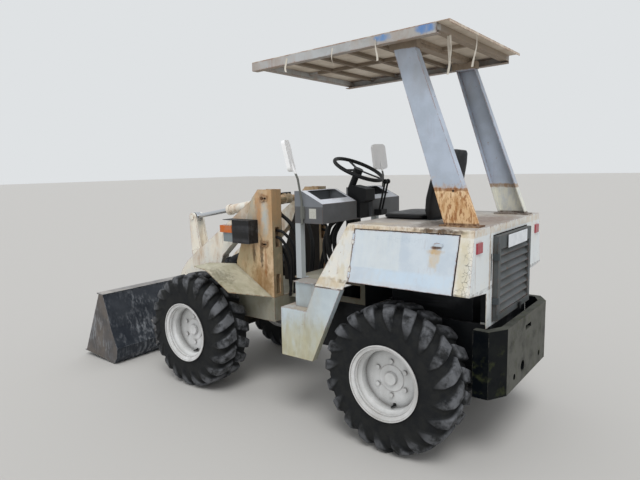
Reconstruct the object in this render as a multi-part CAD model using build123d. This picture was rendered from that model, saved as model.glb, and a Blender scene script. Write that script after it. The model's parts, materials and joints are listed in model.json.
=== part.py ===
from build123d import *
import os
from math import atan2, cos, degrees, hypot, pi, radians, sin, sqrt, tan

# Compact articulated wheel loader with a plain canopy, in millimetres.
# +X points forward, +Y to the machine's left and +Z up. Every size below is measured in the
# machine's own layout, with x = 0 on the steering pivot and z = 0 on the ground. The finished
# pieces are moved along X by origin_shift, so that the part's origin lies under its middle.

# Wheels and tyres
wheelbase = 1740.0
tyre_radius = 435.0
tyre_width = 300.0
wheel_centre_y = 540.0
tread_depth = 32.0
lug_count = 20
lug_start_y = 8.0
lug_lean = 33.0
lug_crown_width = 64.0
lug_foot_width = 48.0
lug_chamfer = 50.0
lug_bulge_radius = 370.0
lug_foot_radius = 330.0
rim_flange_radius = 223.5
bead_seat_radius = 204.0
drop_centre_radius = 180.0
rim_half_width = 157.0
rim_wall = 6.0
bead_gap = 0.4
rim_ridge_y = 128.0
rim_ridge_width = 12.0
rim_ridge_height = 8.0
disc_inset = 113.0
disc_thickness = 12.0
hub_ring_radius = 77.5
hub_ring_height = 5.0
hub_cap_radius = 36.0
hub_cap_height = 24.0
stud_circle_radius = 102.5
stud_radius = 13.0
stud_height = 12.0
stud_count = 6
valve_hole_radius = 12.0
valve_circle_radius = 161.0
valve_angle = -97.0
running_gap = 0.3

# Axles
axle_tube_radius = 62.0
axle_pad_width = 54.0
differential_radius = 98.0
differential_half_length = 150.0
hub_drum_radius = 105.0
hub_drum_start_y = 440.0
axle_pad_half_length = 60.0

# Rear chassis
chassis_half_width = 316.0
chassis_plate = 16.0
rear_overhang = 480.0
chassis_rear_x = -wheelbase / 2 - rear_overhang
chassis_front_x = -100.0
chassis_top_z = 760.0
chassis_axle_z = 510.0
chassis_belly_z = 430.0
chassis_tail_z = 397.0
engine_bearer_z = 545.0
engine_bearer_thickness = 18.0
engine_bearer_width = 70.0
engine_bearer_behind = 230.0
engine_bearer_ahead = 125.0
engine_behind = 340.0
engine_ahead = 200.0
engine_half_width = 225.0
engine_rise = 150.0
belly_rise_near = 130.0
belly_rise_far = 210.0

# Steering pivot
pivot_round_radius = 62.0
pivot_pin_radius = 25.0
pin_clearance = 0.05
rear_tongue_bottom_z = 437.0
rear_tongue_top_z = 683.0
tongue_plate = 30.0
tongue_half_width = 150.0
pivot_washer_gap = 5.0
front_lug_plate = 26.0
pin_head_height = 10.0
pin_head_radius = 36.0
pivot_sleeve_wall = 16.0
steer_lug_plate = 12.0
steer_lug_gap = 1.0
steer_lug_radius = 34.0
steer_ear_radius = 30.0

# Engine cover
cover_top_z = 1325.0
cover_top_half_width = 578.0
cover_sill_z = 985.0
cover_toe_z = 935.0
cover_toe_half_width = 650.0
cover_rear_x = chassis_rear_x
cover_front_top_x = -574.0
cover_front_toe_x = -367.0
cover_band_toe_x = -575.0
cover_band_sill_x = -597.0
cover_sheet = 4.0
console_inner_y = 400.0
tail_skirt_half_width = 390.0
tail_skirt_knee_z = 960.0
tail_skirt_bottom_z = 640.0

# Side doors in the engine cover
door_top_z = 1293.0
door_front_top_x = -626.0
door_front_bottom_x = -609.0
door_rear_top_x = -1271.0
door_rear_bottom_x = -1253.0
door_gap = 6.0
door_handle_x = -1160.0
door_handle_z = 1238.0
knuckle_radius = 7.0
knuckle_room = 1.0
knuckle_gap = 0.3

# Rear grille door
grille_half_width = 300.0
grille_bottom_z = 785.0
grille_top_z = 1265.0
grille_depth = 30.0
grille_frame = 38.0
grille_gap = 6.0
louvre_count = 8
louvre_sheet = 4.0
louvre_rise = 34.0
grille_leaf_width = 8.0
grille_leaf_sheet = 5.0

# Reflectors on the tail wall
reflector_y = 520.0
reflector_z = 1226.0
reflector_half_width = 38.0
reflector_half_height = 28.0
reflector_depth = 8.0

# Counterweight
tail_overhang = 116.0
tail_rear_x = cover_rear_x - tail_overhang
tail_flat_half_width = 375.0
tail_corner_x = tail_rear_x + 64.0
tail_half_width = 489.0
tail_bottom_z = 397.0
tail_top_z = 775.0
tail_wall = 44.0
tail_floor = 40.0
tail_tyre_gap = 9.0
tail_arm_front_x = -wheelbase / 2 - tyre_radius - tail_tyre_gap
tail_slot_z = 700.0
tail_slot_half_width = 55.0
tail_slot_half_height = 14.0
tail_hole_y = 245.0
tail_hole_z = 462.0
tail_hole_radius = 19.0
tail_drain_y = 95.0
tail_drain_rise = 20.0
tail_notch_room = 70.0
tail_drain_radius = 34.0

# Steps and floor
step_outer_y = 650.0
step_inner_y = 456.0
step_front_x = -84.0
step_top_z = 763.0
step_bottom_z = 444.0
step_front_width = 98.0
step_slope_x = -296.0
skirt_top_z = 930.0
skirt_front_top_x = -366.0
skirt_rear_top_x = -558.0
skirt_rear_bottom_x = -336.0
skirt_sheet = 4.0
skirt_flange = 46.0
outrigger_width = 60.0
outrigger_depth = 50.0
floor_z = 930.0
floor_sheet = 10.0
floor_front_x = -45.0
floor_rear_x = cover_front_top_x
floor_half_width = 452.0
step_box_x0 = -309.0
step_box_x1 = -151.0
step_box_y1 = 577.0
step_box_lid = 6.0
step_box_lid_lip = 9.0

# Operator's place
cowl_post_x = -118.0
cowl_post_y = 474.0
cowl_post_size = 44.0
cowl_front_x = -96.0
cowl_rear_x = -324.0
cowl_half_width = 498.0
cowl_bottom_z = 1300.0
cowl_rear_z = 1425.0
cowl_front_z = 1508.0
cowl_sheet = 4.0
cowl_centre_half_width = 105.0
cowl_brow = 60.0
cowl_foot_rim = 14.0
cowl_foot_plate = 8.0
column_half_width = 58.0
column_rear_x = -372.0
column_front_x = -250.0
column_top_z = 1530.0
column_brow = 30.0
shaft_radius = 24.0
shaft_length = 150.0
pedestal_half_width = 40.0
pedestal_inset = 60.0
steering_wheel_x = -275.0
steering_wheel_z = 1640.0
steering_wheel_tilt = 26.0
steering_wheel_radius = 192.0
steering_rim_radius = 13.0
steering_hub_radius = 34.0
steering_hub_drop = 33.0
seat_front_x = -590.0
seat_half_width = 225.0
seat_base_height = 4.0
seat_base_inset = 26.0
cushion_length = 294.0
cushion_height = 32.0
cushion_corner = 50.0
cushion_gap = 0.3
back_height = 425.0
back_foot_thickness = 100.0
back_head_thickness = 60.0
back_lean = 100.0
back_bulge = 14.0
back_bulge_height = 95.0
back_head_half_width = 145.0
back_shoulder_height = 190.0
mirror_x = -108.0
mirror_y = 562.0
mirror_z = 1735.0
mirror_half_width = 62.0
mirror_height = 200.0
mirror_thickness = 24.0
mirror_corner = 26.0
mirror_turn = 25.0
mirror_lean = 12.0
mirror_arm_x = -166.0
mirror_arm_out = 13.0
mirror_arm_radius = 7.0
mirror_elbow = (-160.0, 537.0, 1588.0)
lever_reach = 62.0
lever_spread = 20.0
lever_rise = 210.0
lever_rake = 50.0
lever_radius = 7.0
lever_knob_radius = 18.0

# Canopy
post_y = 460.0
post_depth = 55.0
post_sheet = 6.0
post_base_front_x = -1130.0
post_base_rear_x = -1310.0
post_top_front_x = -806.0
post_top_rear_x = -937.0
post_base_plate = 8.0
roof_front_x = 178.0
roof_rear_x = -1124.0
roof_overhang_rear_x = -1195.0
roof_half_width = 567.0
roof_top_rear_z = 2383.0
roof_fall = 37.0
roof_top_front_z = roof_top_rear_z - roof_fall
beam_height = 52.0
beam_width = 50.0
beam_sheet = 4.0
end_beam_width = 45.0
end_beam_depth = 36.0
rib_count = 5
rib_width = 30.0
rib_depth = 20.0
saddle_drop = 30.0
saddle_rim = 20.0
saddle_beam_width = 60.0
roof_sheet = 3.0
roof_turned_edge = 14.0

# Front frame and loader tower
front_box_rear_x = 260.0
front_box_front_x = 1150.0
front_box_half_width = 331.0
front_box_bottom_z = 527.0
front_box_top_z = 712.0
front_box_plate = 12.0
lug_skirt_half_width = 170.0
tower_rear_x = 260.0
tower_outer_y = 331.0
tower_inner_y = 227.0
tower_plate = 12.0
tower_inner_plate = 10.0
tower_top_z = 1507.0
tower_top_front_x = 395.0
tower_shoulder_x = 458.0
tower_shoulder_z = 1440.0
tower_chest_x = 497.0
tower_chest_z = 1331.0
tower_foot_x = 640.0
tower_foot_z = 953.0
web_hole_half_height = 74.0
web_hole_z = (1158.0, 806.0)
web_hole_inset = 30.0
boom_pivot_x = 350.0
boom_pivot_z = 1443.0
lift_base_x = 356.0
lift_base_z = 1105.0
boom_pin_radius = 25.0
lift_pin_radius = 20.0
pin_end_out = 9.0
keeper_length = 48.0
keeper_half_height = 18.0
keeper_plate = 6.0
fender_inner_y = 331.0
fender_outer_y = 640.0
fender_sheet = 6.0
fender_slope = 30.7
fender_rear_inner_x = 282.0
fender_rear_outer_x = 418.0
fender_bend_x = 647.0
fender_bend_z = 932.0
fender_front_x = 780.0
fender_front_z = 950.0
fender_nose_cut = 150.0

# Headlamp boxes
lamp_rear_x = 405.0
lamp_front_x = 577.0
lamp_outer_y = 430.0
lamp_bottom_z = 1112.0
lamp_top_z = 1284.0
lamp_sheet = 4.0
lamp_visor = 98.0
lamp_side_gap = 9.0
lamp_body_back = 75.0
lamp_body_front = 112.0
lamp_body_height = 70.0
lamp_corner = 10.0
signal_inner_y = 372.0
signal_gap = 9.0
signal_length = 128.0
signal_height = 53.0
signal_corner = 8.0

# Boom, in the plane of one arm
arm_gap = 6.0
arm_inner_y = tower_inner_y + tower_inner_plate + arm_gap
arm_outer_y = tower_outer_y - tower_plate - arm_gap
arm_boss_radius = 62.0
bucket_pin_x = 1650.0
bucket_pin_z = 195.0
bucket_pin_radius = 22.0
bucket_boss_radius = 50.0
cross_tube_x = 1190.0
cross_tube_z = 800.0
cross_tube_radius = 76.0
# Edges of an arm ahead of its pivot, as (x, z) in the plane of the arm
arm_top_edge = (
    (528.0, 1395.0),
    (860.0, 1166.0),
    (1103.0, 1009.0),
    (1259.0, 891.0),
    (1328.0, 817.0),
    (1376.0, 738.0),
    (1560.0, 330.0),
)
arm_bottom_edge = (
    (1430.0, 470.0),
    (1250.0, 640.0),
    (1060.0, 780.0),
    (875.0, 930.0),
    (690.0, 1093.0),
)
lift_lug_rear = 92.0
lift_lug_front = 150.0
bell_pivot_x = 1450.0
bell_pivot_z = 920.0
bell_top_x = 1486.0
bell_top_z = 1238.0
bell_low_x = 1290.0
bell_low_z = 478.0
bell_plate = 18.0
bell_half_gap = 34.0
link_pin_radius = 16.0
link_eye_radius = 38.0
bucket_link_x = 1567.0
bucket_link_z = 298.0
link_width = 52.0
ear_gap = 5.0
ear_plate = 16.0
pin_end = 8.0
bell_hub_radius = 48.0
bell_waist_radius = 62.0

# Hydraulic cylinders
lift_eye_x = 900.0
lift_eye_z = 868.0
lift_lug_plate = 10.0
lift_lug_radius = 40.0
lift_pocket_radius = 84.0
lift_channel_above = 76.0
lift_channel_length = 130.0
lift_barrel_length = 470.0
lift_rod_room = 2.0
lift_eye_width = 40.0
lift_barrel_radius = 36.0
lift_rod_radius = 18.0
bore_gap = 0.05
barrel_head = 24.0
gland_length = 34.0
gland_wall = 6.0
tilt_base_x = 400.0
tilt_base_z = 1425.0
tilt_gland_x = 1060.0
tilt_barrel_radius = 40.0
tilt_rod_radius = 20.0
tilt_rod_room = 95.0
steer_base_x = -420.0
steer_base_y = 180.0
steer_eye_x = 150.0
steer_eye_y = 200.0
steer_z = 560.0
steer_window_inner_y = 95.0
steer_barrel_radius = 27.0
steer_rod_radius = 14.0
steer_barrel_length = 350.0
steer_rod_room = 150.0

# Bucket
bucket_half_width = 733.0
bucket_tip_x = 2259.0
bucket_tip_z = 49.0
bucket_apex_x = 1936.0
bucket_apex_z = 603.0
bucket_side_plate = 12.0
bucket_shell = 8.0
bucket_edge_thickness = 20.0
bucket_edge_length = 120.0
bucket_heel_z = 6.0
# Outside of the bucket's wrapped plate from the floor's front round the heel to the lip, as (x, z)
bucket_wrap = (
    (2150.0, 38.0),
    (1792.0, bucket_heel_z),
    (1748.0, 62.0),
    (1732.0, 150.0),
    (1804.0, 303.0),
    (1847.0, 457.0),
    (1900.0, 598.0),
)
bucket_lip_reach = 90.0
bucket_lip_thickness = 10.0
bucket_ear_foot = (1700.0, 190.0)

# Where the finished machine reaches, and the shift that centres it over its origin
rear_reach = -tail_rear_x
front_reach = bucket_tip_x
origin_shift = (rear_reach - front_reach) / 2

# Half widths just inside the engine cover's sides and well outside them, between which its doors are cut
within_cover = 0.75 * cover_top_half_width
beyond_cover = 1.25 * cover_toe_half_width

rear_axle_x = -wheelbase / 2
front_axle_x = wheelbase / 2
axle_z = tyre_radius
left_right = (1, -1)

# Shares of a hinge line: knuckles of the leaf that swings, and those that stay on the body
swing_shares = ((0.08, 0.2), (0.8, 0.92))
fixed_shares = ((0.2015, 0.28), (0.72, 0.7985))


def block(x0, x1, y0, y1, z0, z1):
    """A rectangular solid between two corners, given in any order."""
    size = (abs(x1 - x0), abs(y1 - y0), abs(z1 - z0))
    return Pos((x0 + x1) / 2, (y0 + y1) / 2, (z0 + z1) / 2) * Box(*size)


def side_plate(outline, y0, y1):
    """A plate with an (x, z) outline, from y0 to y1."""
    low, high = sorted((y0, y1))
    sketch = Plane.XZ.offset(-low) * make_face(Polyline([(x, z) for x, z in outline], close=True))
    return extrude(sketch, amount=high - low, dir=(0, 1, 0))


def flat_plate(outline, z0, z1):
    """A plate with an (x, y) outline, from z0 to z1."""
    low, high = sorted((z0, z1))
    sketch = Plane.XY.offset(low) * make_face(Polyline([(x, y) for x, y in outline], close=True))
    return extrude(sketch, amount=high - low, dir=(0, 0, 1))


def end_plate(outline, x0, x1):
    """A plate with a (y, z) outline, from x0 to x1."""
    low, high = sorted((x0, x1))
    sketch = Plane.YZ.offset(low) * make_face(Polyline([(y, z) for y, z in outline], close=True))
    return extrude(sketch, amount=high - low, dir=(1, 0, 0))


def rod(start, end, radius):
    """A round bar between two points."""
    a = Vector(*start)
    b = Vector(*end)
    plane = Plane(origin=a, z_dir=(b - a).normalized())
    return plane * Cylinder(radius, (b - a).length, align=(Align.CENTER, Align.CENTER, Align.MIN))


def cross_rod(x, z, radius, y0, y1):
    """A round bar across the machine."""
    return rod((x, min(y0, y1), z), (x, max(y0, y1), z), radius)


def mirrored(piece):
    """The same piece on the machine's other side."""
    return piece.mirror(Plane.XZ)


def both_sides(piece):
    """A piece of the left side with its twin on the right, as two solids."""
    return Compound(children=[piece, mirrored(piece)])


def write(name, piece):
    """Moves a finished piece to the part's origin and writes it as one STEP file."""
    export_step(Pos(origin_shift, 0, 0) * piece, os.path.join("parts", name + ".step"))


def cover_half_width(z):
    """Half the width of the engine cover's slanted side at height z."""
    slope = (cover_toe_half_width - cover_top_half_width) / (cover_top_z - cover_toe_z)
    return cover_top_half_width + slope * (cover_top_z - z)


def edge_height(edge, x):
    """Height of an edge of (x, z) points at x."""
    points = sorted(edge)
    for (x0, z0), (x1, z1) in zip(points, points[1:]):
        if x0 <= x <= x1:
            return z0 + (z1 - z0) * (x - x0) / (x1 - x0)
    raise ValueError("x lies beyond the edge")


def offset_line(points, distance):
    """A line of (x, z) points moved to its right by distance, with mitred corners."""
    normals = []
    for (x0, z0), (x1, z1) in zip(points, points[1:]):
        length = hypot(x1 - x0, z1 - z0)
        normals.append(((z1 - z0) / length, (x0 - x1) / length))
    moved = []
    for (x, z), (ax, az), (bx, bz) in zip(points, normals[:1] + normals, normals + normals[-1:]):
        reach = distance / (1 + ax * bx + az * bz)
        moved.append((x + (ax + bx) * reach, z + (az + bz) * reach))
    return tuple(moved)


def wheel_profile_ring(stations):
    """A ring about Y from (radius, y) stations."""
    sketch = make_face(Polyline([(r, y) for r, y in stations], close=True))
    return revolve(sketch, Axis.Y)


def make_rim():
    """A drop-centre rim with its disc, hub ring, cap and studs, outer side towards +Y, at the origin."""
    # Rim stations: y from the wheel's centre plane and outer radius
    stations = (
        (rim_half_width, rim_flange_radius),
        (rim_half_width - 7, rim_flange_radius),
        (rim_half_width - 12, bead_seat_radius),
        (rim_half_width - 45, bead_seat_radius - 2),
        (rim_half_width - 66, drop_centre_radius + 2),
        (rim_half_width - 186, drop_centre_radius),
        (-rim_half_width + 62, bead_seat_radius - 2),
        (-rim_half_width + 12, bead_seat_radius),
        (-rim_half_width + 7, rim_flange_radius),
        (-rim_half_width, rim_flange_radius),
    )
    outer = [(r, y) for y, r in stations]
    inner = [(r - rim_wall, y) for y, r in reversed(stations)]
    ring = wheel_profile_ring(outer + inner)
    # The lock ring's ridge inside the outer bead seat
    wall_r = bead_seat_radius - rim_wall
    ring += wheel_profile_ring((
        (wall_r + 1, rim_ridge_y - rim_ridge_width / 2),
        (wall_r + 1, rim_ridge_y + rim_ridge_width / 2),
        (wall_r - rim_ridge_height, rim_ridge_y + rim_ridge_width / 2 - 1),
        (wall_r - rim_ridge_height, rim_ridge_y - rim_ridge_width / 2 + 1),
    ))
    disc_outer_y = rim_half_width - disc_inset
    disc_inner_y = disc_outer_y - disc_thickness
    disc = wheel_profile_ring((
        (0, disc_inner_y),
        (drop_centre_radius - 1, disc_inner_y),
        (drop_centre_radius - 1, disc_outer_y),
        (hub_ring_radius + 4, disc_outer_y),
        (hub_ring_radius, disc_outer_y + hub_ring_height),
        (hub_cap_radius + 4, disc_outer_y + hub_ring_height),
        (hub_cap_radius, disc_outer_y + hub_cap_height),
        (0, disc_outer_y + hub_cap_height),
    ))
    rim = ring + disc
    for index in range(stud_count):
        angle = 2 * pi * (index + 0.5) / stud_count
        x = stud_circle_radius * cos(angle)
        z = stud_circle_radius * sin(angle)
        rim += cross_rod(x, z, stud_radius, disc_outer_y - 1, disc_outer_y + stud_height)
    x = valve_circle_radius * cos(radians(valve_angle))
    z = valve_circle_radius * sin(radians(valve_angle))
    return rim - cross_rod(x, z, valve_hole_radius, disc_inner_y - 1, disc_outer_y + 1)


def make_lug():
    """One lug of the tread's left half, at the top of the wheel: a slanted bar that ends on the sidewall."""
    half = tyre_width / 2
    # The flat top lies so low that its far corners just reach the tyre's radius
    top = sqrt(tyre_radius**2 - (lug_lean + lug_crown_width / 2) ** 2)
    root = tyre_radius - 1.5 * tread_depth
    # Across the tyre, as (y, z)
    section = (
        (lug_start_y, root),
        (lug_start_y, top),
        (half - lug_chamfer, top),
        (half, lug_bulge_radius),
        (half, lug_foot_radius),
        (half - tread_depth, lug_foot_radius),
    )
    # Seen from above, as (x, y)
    plan = (
        (lug_lean + lug_crown_width / 2, lug_start_y),
        (lug_lean - lug_crown_width / 2, lug_start_y),
        (-lug_lean - lug_foot_width / 2, half),
        (-lug_lean + lug_foot_width / 2, half),
    )
    reach = lug_lean + lug_crown_width
    return end_plate(section, -reach, reach) & flat_plate(plan, lug_foot_radius - 1, tyre_radius)


def make_tyre():
    """A broad tyre on its bead seats with two staggered rows of lugs, at the origin."""
    half = tyre_width / 2
    bead = bead_seat_radius + bead_gap
    bead_y = rim_half_width - 12.5
    # Stations of the casing on one side: y and radius
    stations = (
        (bead_y, bead),
        (bead_y + 0.5, rim_flange_radius + 4),
        (half - 7, rim_flange_radius + 90),
        (half - tread_depth, tyre_radius - tread_depth),
    )
    right = [(r, -y) for y, r in stations]
    left = [(r, y) for y, r in reversed(stations)]
    casing = wheel_profile_ring(right + left)
    lug = make_lug()
    pitch = 360 / lug_count
    lugs = []
    for row, stagger in ((lug, 0), (mirrored(lug), 0.5)):
        for index in range(lug_count):
            lugs.append(Rot(0, pitch * (index + stagger), 0) * row)
    return casing.fuse(*lugs)


def place_wheel(piece, x, side):
    """Stands a wheel piece at an axle's end, its outer side outwards."""
    turned = piece if side > 0 else mirrored(piece)
    return Pos(x, side * wheel_centre_y, axle_z) * turned


def make_axle(x, seat_z, pad_outer_y):
    """A beam axle with its differential, hub drums and the pads that carry the frame at seat_z."""
    hub_end_y = wheel_centre_y + rim_half_width - disc_inset - disc_thickness - running_gap
    axle = cross_rod(x, axle_z, axle_tube_radius, -hub_drum_start_y, hub_drum_start_y)
    housing = wheel_profile_ring((
        (0, -differential_half_length),
        (axle_tube_radius, -differential_half_length),
        (differential_radius, -differential_half_length / 3),
        (differential_radius, differential_half_length / 3),
        (axle_tube_radius, differential_half_length),
        (0, differential_half_length),
    ))
    axle += Pos(x, 0, axle_z) * housing
    for side in left_right:
        axle += cross_rod(x, axle_z, hub_drum_radius, side * (hub_drum_start_y - 40), side * hub_end_y)
        pad_inner_y = pad_outer_y - axle_pad_width
        pad_x = (x - axle_pad_half_length, x + axle_pad_half_length)
        axle += block(*pad_x, side * pad_inner_y, side * pad_outer_y, axle_z, seat_z)
    return axle


def make_rear_chassis():
    """Two side plates with cross members, engine bearers, step outriggers and the pivot tongue."""
    outline = (
        (chassis_rear_x, chassis_tail_z),
        (chassis_rear_x, chassis_top_z),
        (chassis_front_x, chassis_top_z),
        (chassis_front_x, chassis_belly_z),
        (rear_axle_x + belly_rise_far, chassis_belly_z),
        (rear_axle_x + belly_rise_near, chassis_axle_z),
        (rear_axle_x - belly_rise_near, chassis_axle_z),
        (rear_axle_x - belly_rise_far, chassis_belly_z),
        (chassis_rear_x + 60, chassis_tail_z),
    )
    inner = chassis_half_width - chassis_plate
    frame = side_plate(outline, inner, chassis_half_width)
    frame += side_plate(outline, -chassis_half_width, -inner)
    for x, low in ((chassis_rear_x, chassis_tail_z), (chassis_front_x - chassis_plate, chassis_belly_z)):
        frame += block(x, x + chassis_plate, -inner, inner, low, chassis_top_z)
    window_half = steer_barrel_radius + 18
    for side in left_right:
        frame -= block(
            chassis_front_x - chassis_plate - 1,
            chassis_front_x + 1,
            side * steer_window_inner_y,
            side * (inner - 4),
            steer_z - window_half,
            steer_z + window_half,
        )
    for x in (rear_axle_x - engine_bearer_behind, rear_axle_x + engine_bearer_ahead):
        low = engine_bearer_z
        frame += block(x, x + engine_bearer_width, -inner, inner, low, low + engine_bearer_thickness)
    for side in left_right:
        frame += block(
            step_slope_x + 20,
            step_slope_x + 20 + outrigger_width,
            side * inner,
            side * (step_outer_y - skirt_sheet),
            step_top_z - skirt_sheet - outrigger_depth,
            step_top_z - skirt_sheet,
        )
    for low in (rear_tongue_bottom_z, rear_tongue_top_z - tongue_plate):
        tongue = flat_plate(
            (
                (chassis_front_x - chassis_plate / 2, -tongue_half_width),
                (chassis_front_x - chassis_plate / 2, tongue_half_width),
                (0, pivot_round_radius),
                (0, -pivot_round_radius),
            ),
            low,
            low + tongue_plate,
        )
        tongue += rod((0, 0, low), (0, 0, low + tongue_plate), pivot_round_radius)
        frame += tongue
    sleeve_radius = pivot_pin_radius + pivot_sleeve_wall
    frame += rod((0, 0, rear_tongue_bottom_z), (0, 0, rear_tongue_top_z), sleeve_radius)
    bore_radius = pivot_pin_radius + pin_clearance
    frame -= rod((0, 0, rear_tongue_bottom_z - 1), (0, 0, rear_tongue_top_z + 1), bore_radius)
    for side in left_right:
        frame += clevis_plates(steer_base_x, side * steer_base_y, side)
    return frame


def steer_plate_levels():
    """Undersides of the two plates that take a steering cylinder's eye between them."""
    half = steer_barrel_radius + steer_lug_gap
    return steer_z - half - steer_lug_plate, steer_z + half


def clevis_plates(x, y, side):
    """Two lugs above and below a steering cylinder's eye, from a bracket on the chassis side plate."""
    lugs = None
    reach = chassis_half_width - chassis_plate
    for low in steer_plate_levels():
        high = low + steer_lug_plate
        lug = block(x - steer_lug_radius, x + steer_lug_radius, y, side * reach, low, high)
        lug += rod((x, y, low), (x, y, high), steer_lug_radius)
        lugs = lug if lugs is None else lugs + lug
    pin_reach = steer_barrel_radius + steer_lug_gap + steer_lug_plate / 2
    return lugs + rod((x, y, steer_z - pin_reach), (x, y, steer_z + pin_reach), steer_rod_radius)


def make_engine_block():
    """The engine and its gearbox as one plain mass on the bearers."""
    low = engine_bearer_z + engine_bearer_thickness
    x = (rear_axle_x - engine_behind, rear_axle_x + engine_ahead)
    return block(*x, -engine_half_width, engine_half_width, low, cover_sill_z + engine_rise)


def cover_solid(inset):
    """The engine cover's outer form, or its cavity when inset by the sheet."""
    top = cover_top_z - inset
    low = cover_toe_z - 2 * inset
    # The sides slant, so the half widths are taken at the heights in use
    section = end_plate(
        (
            (cover_half_width(top) - inset, top),
            (-cover_half_width(top) + inset, top),
            (-cover_half_width(low) + inset, low),
            (cover_half_width(low) - inset, low),
        ),
        cover_rear_x + inset,
        cover_front_toe_x + 100,
    )
    slope = (cover_front_toe_x - cover_front_top_x) / (cover_top_z - cover_toe_z)
    front_inset = inset * hypot(1, slope)
    outline = (
        (cover_rear_x + inset, top),
        (cover_front_top_x - front_inset + slope * inset, top),
        (cover_front_toe_x - front_inset + slope * (cover_toe_z - low), low),
        (cover_rear_x + inset, low),
    )
    body = section & side_plate(outline, -beyond_cover, beyond_cover)
    recess = block(
        cover_front_top_x - inset,
        cover_front_toe_x + 200,
        -console_inner_y - inset,
        console_inner_y + inset,
        low - 10,
        cover_top_z + 10,
    )
    return body - recess


def door_outline(gap):
    """The side door's (x, z) outline, grown by gap for its opening."""
    return (
        (door_front_top_x + gap, door_top_z + gap),
        (door_rear_top_x - gap, door_top_z + gap),
        (door_rear_bottom_x - gap, cover_sill_z - 60 * (gap > 0)),
        (door_front_bottom_x + gap, cover_sill_z - 60 * (gap > 0)),
    )


def make_cover():
    """The engine cover: one hollow sheet body with two door openings and the grille opening."""
    shell = cover_solid(0) - cover_solid(cover_sheet)
    # The lower edge steps up behind the front band to the sill
    behind = (
        (cover_rear_x - 20, cover_sill_z),
        (cover_band_sill_x, cover_sill_z),
        (cover_band_toe_x, cover_toe_z),
        (cover_band_toe_x, cover_toe_z - 60),
        (cover_rear_x - 20, cover_toe_z - 60),
    )
    shell -= side_plate(behind, -beyond_cover, beyond_cover)
    for side in left_right:
        shell -= side_plate(door_outline(door_gap), side * within_cover, side * beyond_cover)
    # Tail wall down to the counterweight
    tail = end_plate(
        (
            (cover_half_width(cover_sill_z) - cover_sheet, cover_sill_z),
            (tail_skirt_half_width, tail_skirt_knee_z),
            (tail_skirt_half_width, tail_skirt_bottom_z),
            (-tail_skirt_half_width, tail_skirt_bottom_z),
            (-tail_skirt_half_width, tail_skirt_knee_z),
            (-cover_half_width(cover_sill_z) + cover_sheet, cover_sill_z),
        ),
        cover_rear_x,
        cover_rear_x + cover_sheet,
    )
    tail -= block(
        cover_rear_x - 20,
        chassis_rear_x + cover_sheet + 1,
        -tail_skirt_half_width - 1,
        tail_skirt_half_width + 1,
        tail_skirt_bottom_z - 1,
        chassis_top_z,
    )
    shell += tail
    shell -= block(
        cover_rear_x - 20,
        cover_rear_x + 20,
        -grille_half_width - grille_gap,
        grille_half_width + grille_gap,
        grille_bottom_z - grille_gap,
        grille_top_z + grille_gap,
    )
    # Deck rails inside the cover carry it on the chassis
    for side in left_right:
        shell += side_plate(
            (
                (cover_rear_x + cover_sheet, chassis_top_z),
                (cover_rear_x + cover_sheet, cover_top_z - cover_sheet),
                (cover_rear_x + 60, cover_top_z - cover_sheet),
                (cover_rear_x + 60, chassis_top_z),
            ),
            side * (chassis_half_width - chassis_plate),
            side * chassis_half_width,
        )
    front = block(
        cover_front_top_x - cover_sheet,
        cover_front_top_x,
        -console_inner_y,
        console_inner_y,
        chassis_top_z,
        cover_toe_z + 2,
    )
    return shell + front


def make_side_door():
    """The left side door: a flat panel in the cover's slanted side with its grip and hinge knuckles."""
    panel = cover_solid(0) - cover_solid(cover_sheet)
    panel &= side_plate(door_outline(0), within_cover, beyond_cover)
    y = cover_half_width(door_handle_z)
    x, z = door_handle_x, door_handle_z
    panel += block(x - 24, x + 24, y - 8, y + 11, z - 7, z + 7)
    return panel


def door_hinge_points():
    """Two points on the left door's hinge line, on the outer face just ahead of the panel."""
    shift = door_gap / 2
    top = Vector(door_front_top_x + shift, cover_half_width(door_top_z), door_top_z)
    low = Vector(door_front_bottom_x + shift, cover_half_width(cover_sill_z), cover_sill_z)
    return top, low


def hinge_set(start, end):
    """Knuckles of a hinge on a line: those of the leaf that swings, those that stay, and room for each."""
    line = end - start
    sets = []
    for shares in (swing_shares, fixed_shares):
        for radius in (knuckle_radius, knuckle_radius + knuckle_room):
            reach = 0 if radius == knuckle_radius else knuckle_gap / line.length
            pieces = []
            for low, high in shares:
                a = start + line * (low - reach)
                b = start + line * (high + reach)
                pieces.append(rod((a.X, a.Y, a.Z), (b.X, b.Y, b.Z), radius))
            sets.append(pieces[0] + pieces[1])
    swing, swing_room, fixed, fixed_room = sets
    return swing, fixed, swing_room, fixed_room


def make_grille():
    """The rear grille door: a frame with sloping louvres, its face behind the tail wall."""
    x0 = cover_rear_x - grille_depth
    x1 = cover_rear_x
    frame = block(x0, x1, -grille_half_width, grille_half_width, grille_bottom_z, grille_top_z)
    inner_y = grille_half_width - grille_frame
    low = grille_bottom_z + grille_frame
    high = grille_top_z - 2 * grille_frame
    frame -= block(x0 - 1, x1 + 1, -inner_y, inner_y, low, high)
    pitch = (high - low) / louvre_count
    for index in range(louvre_count):
        z = low + pitch * (index + 0.5)
        half = louvre_rise / 2
        slat = (
            (x0 + 3, z - half),
            (x0 + 3 + louvre_sheet, z - half),
            (x1 - 3, z + half),
            (x1 - 3 - louvre_sheet, z + half),
        )
        frame += side_plate(slat, -inner_y - 1, inner_y + 1)
    return frame


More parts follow.
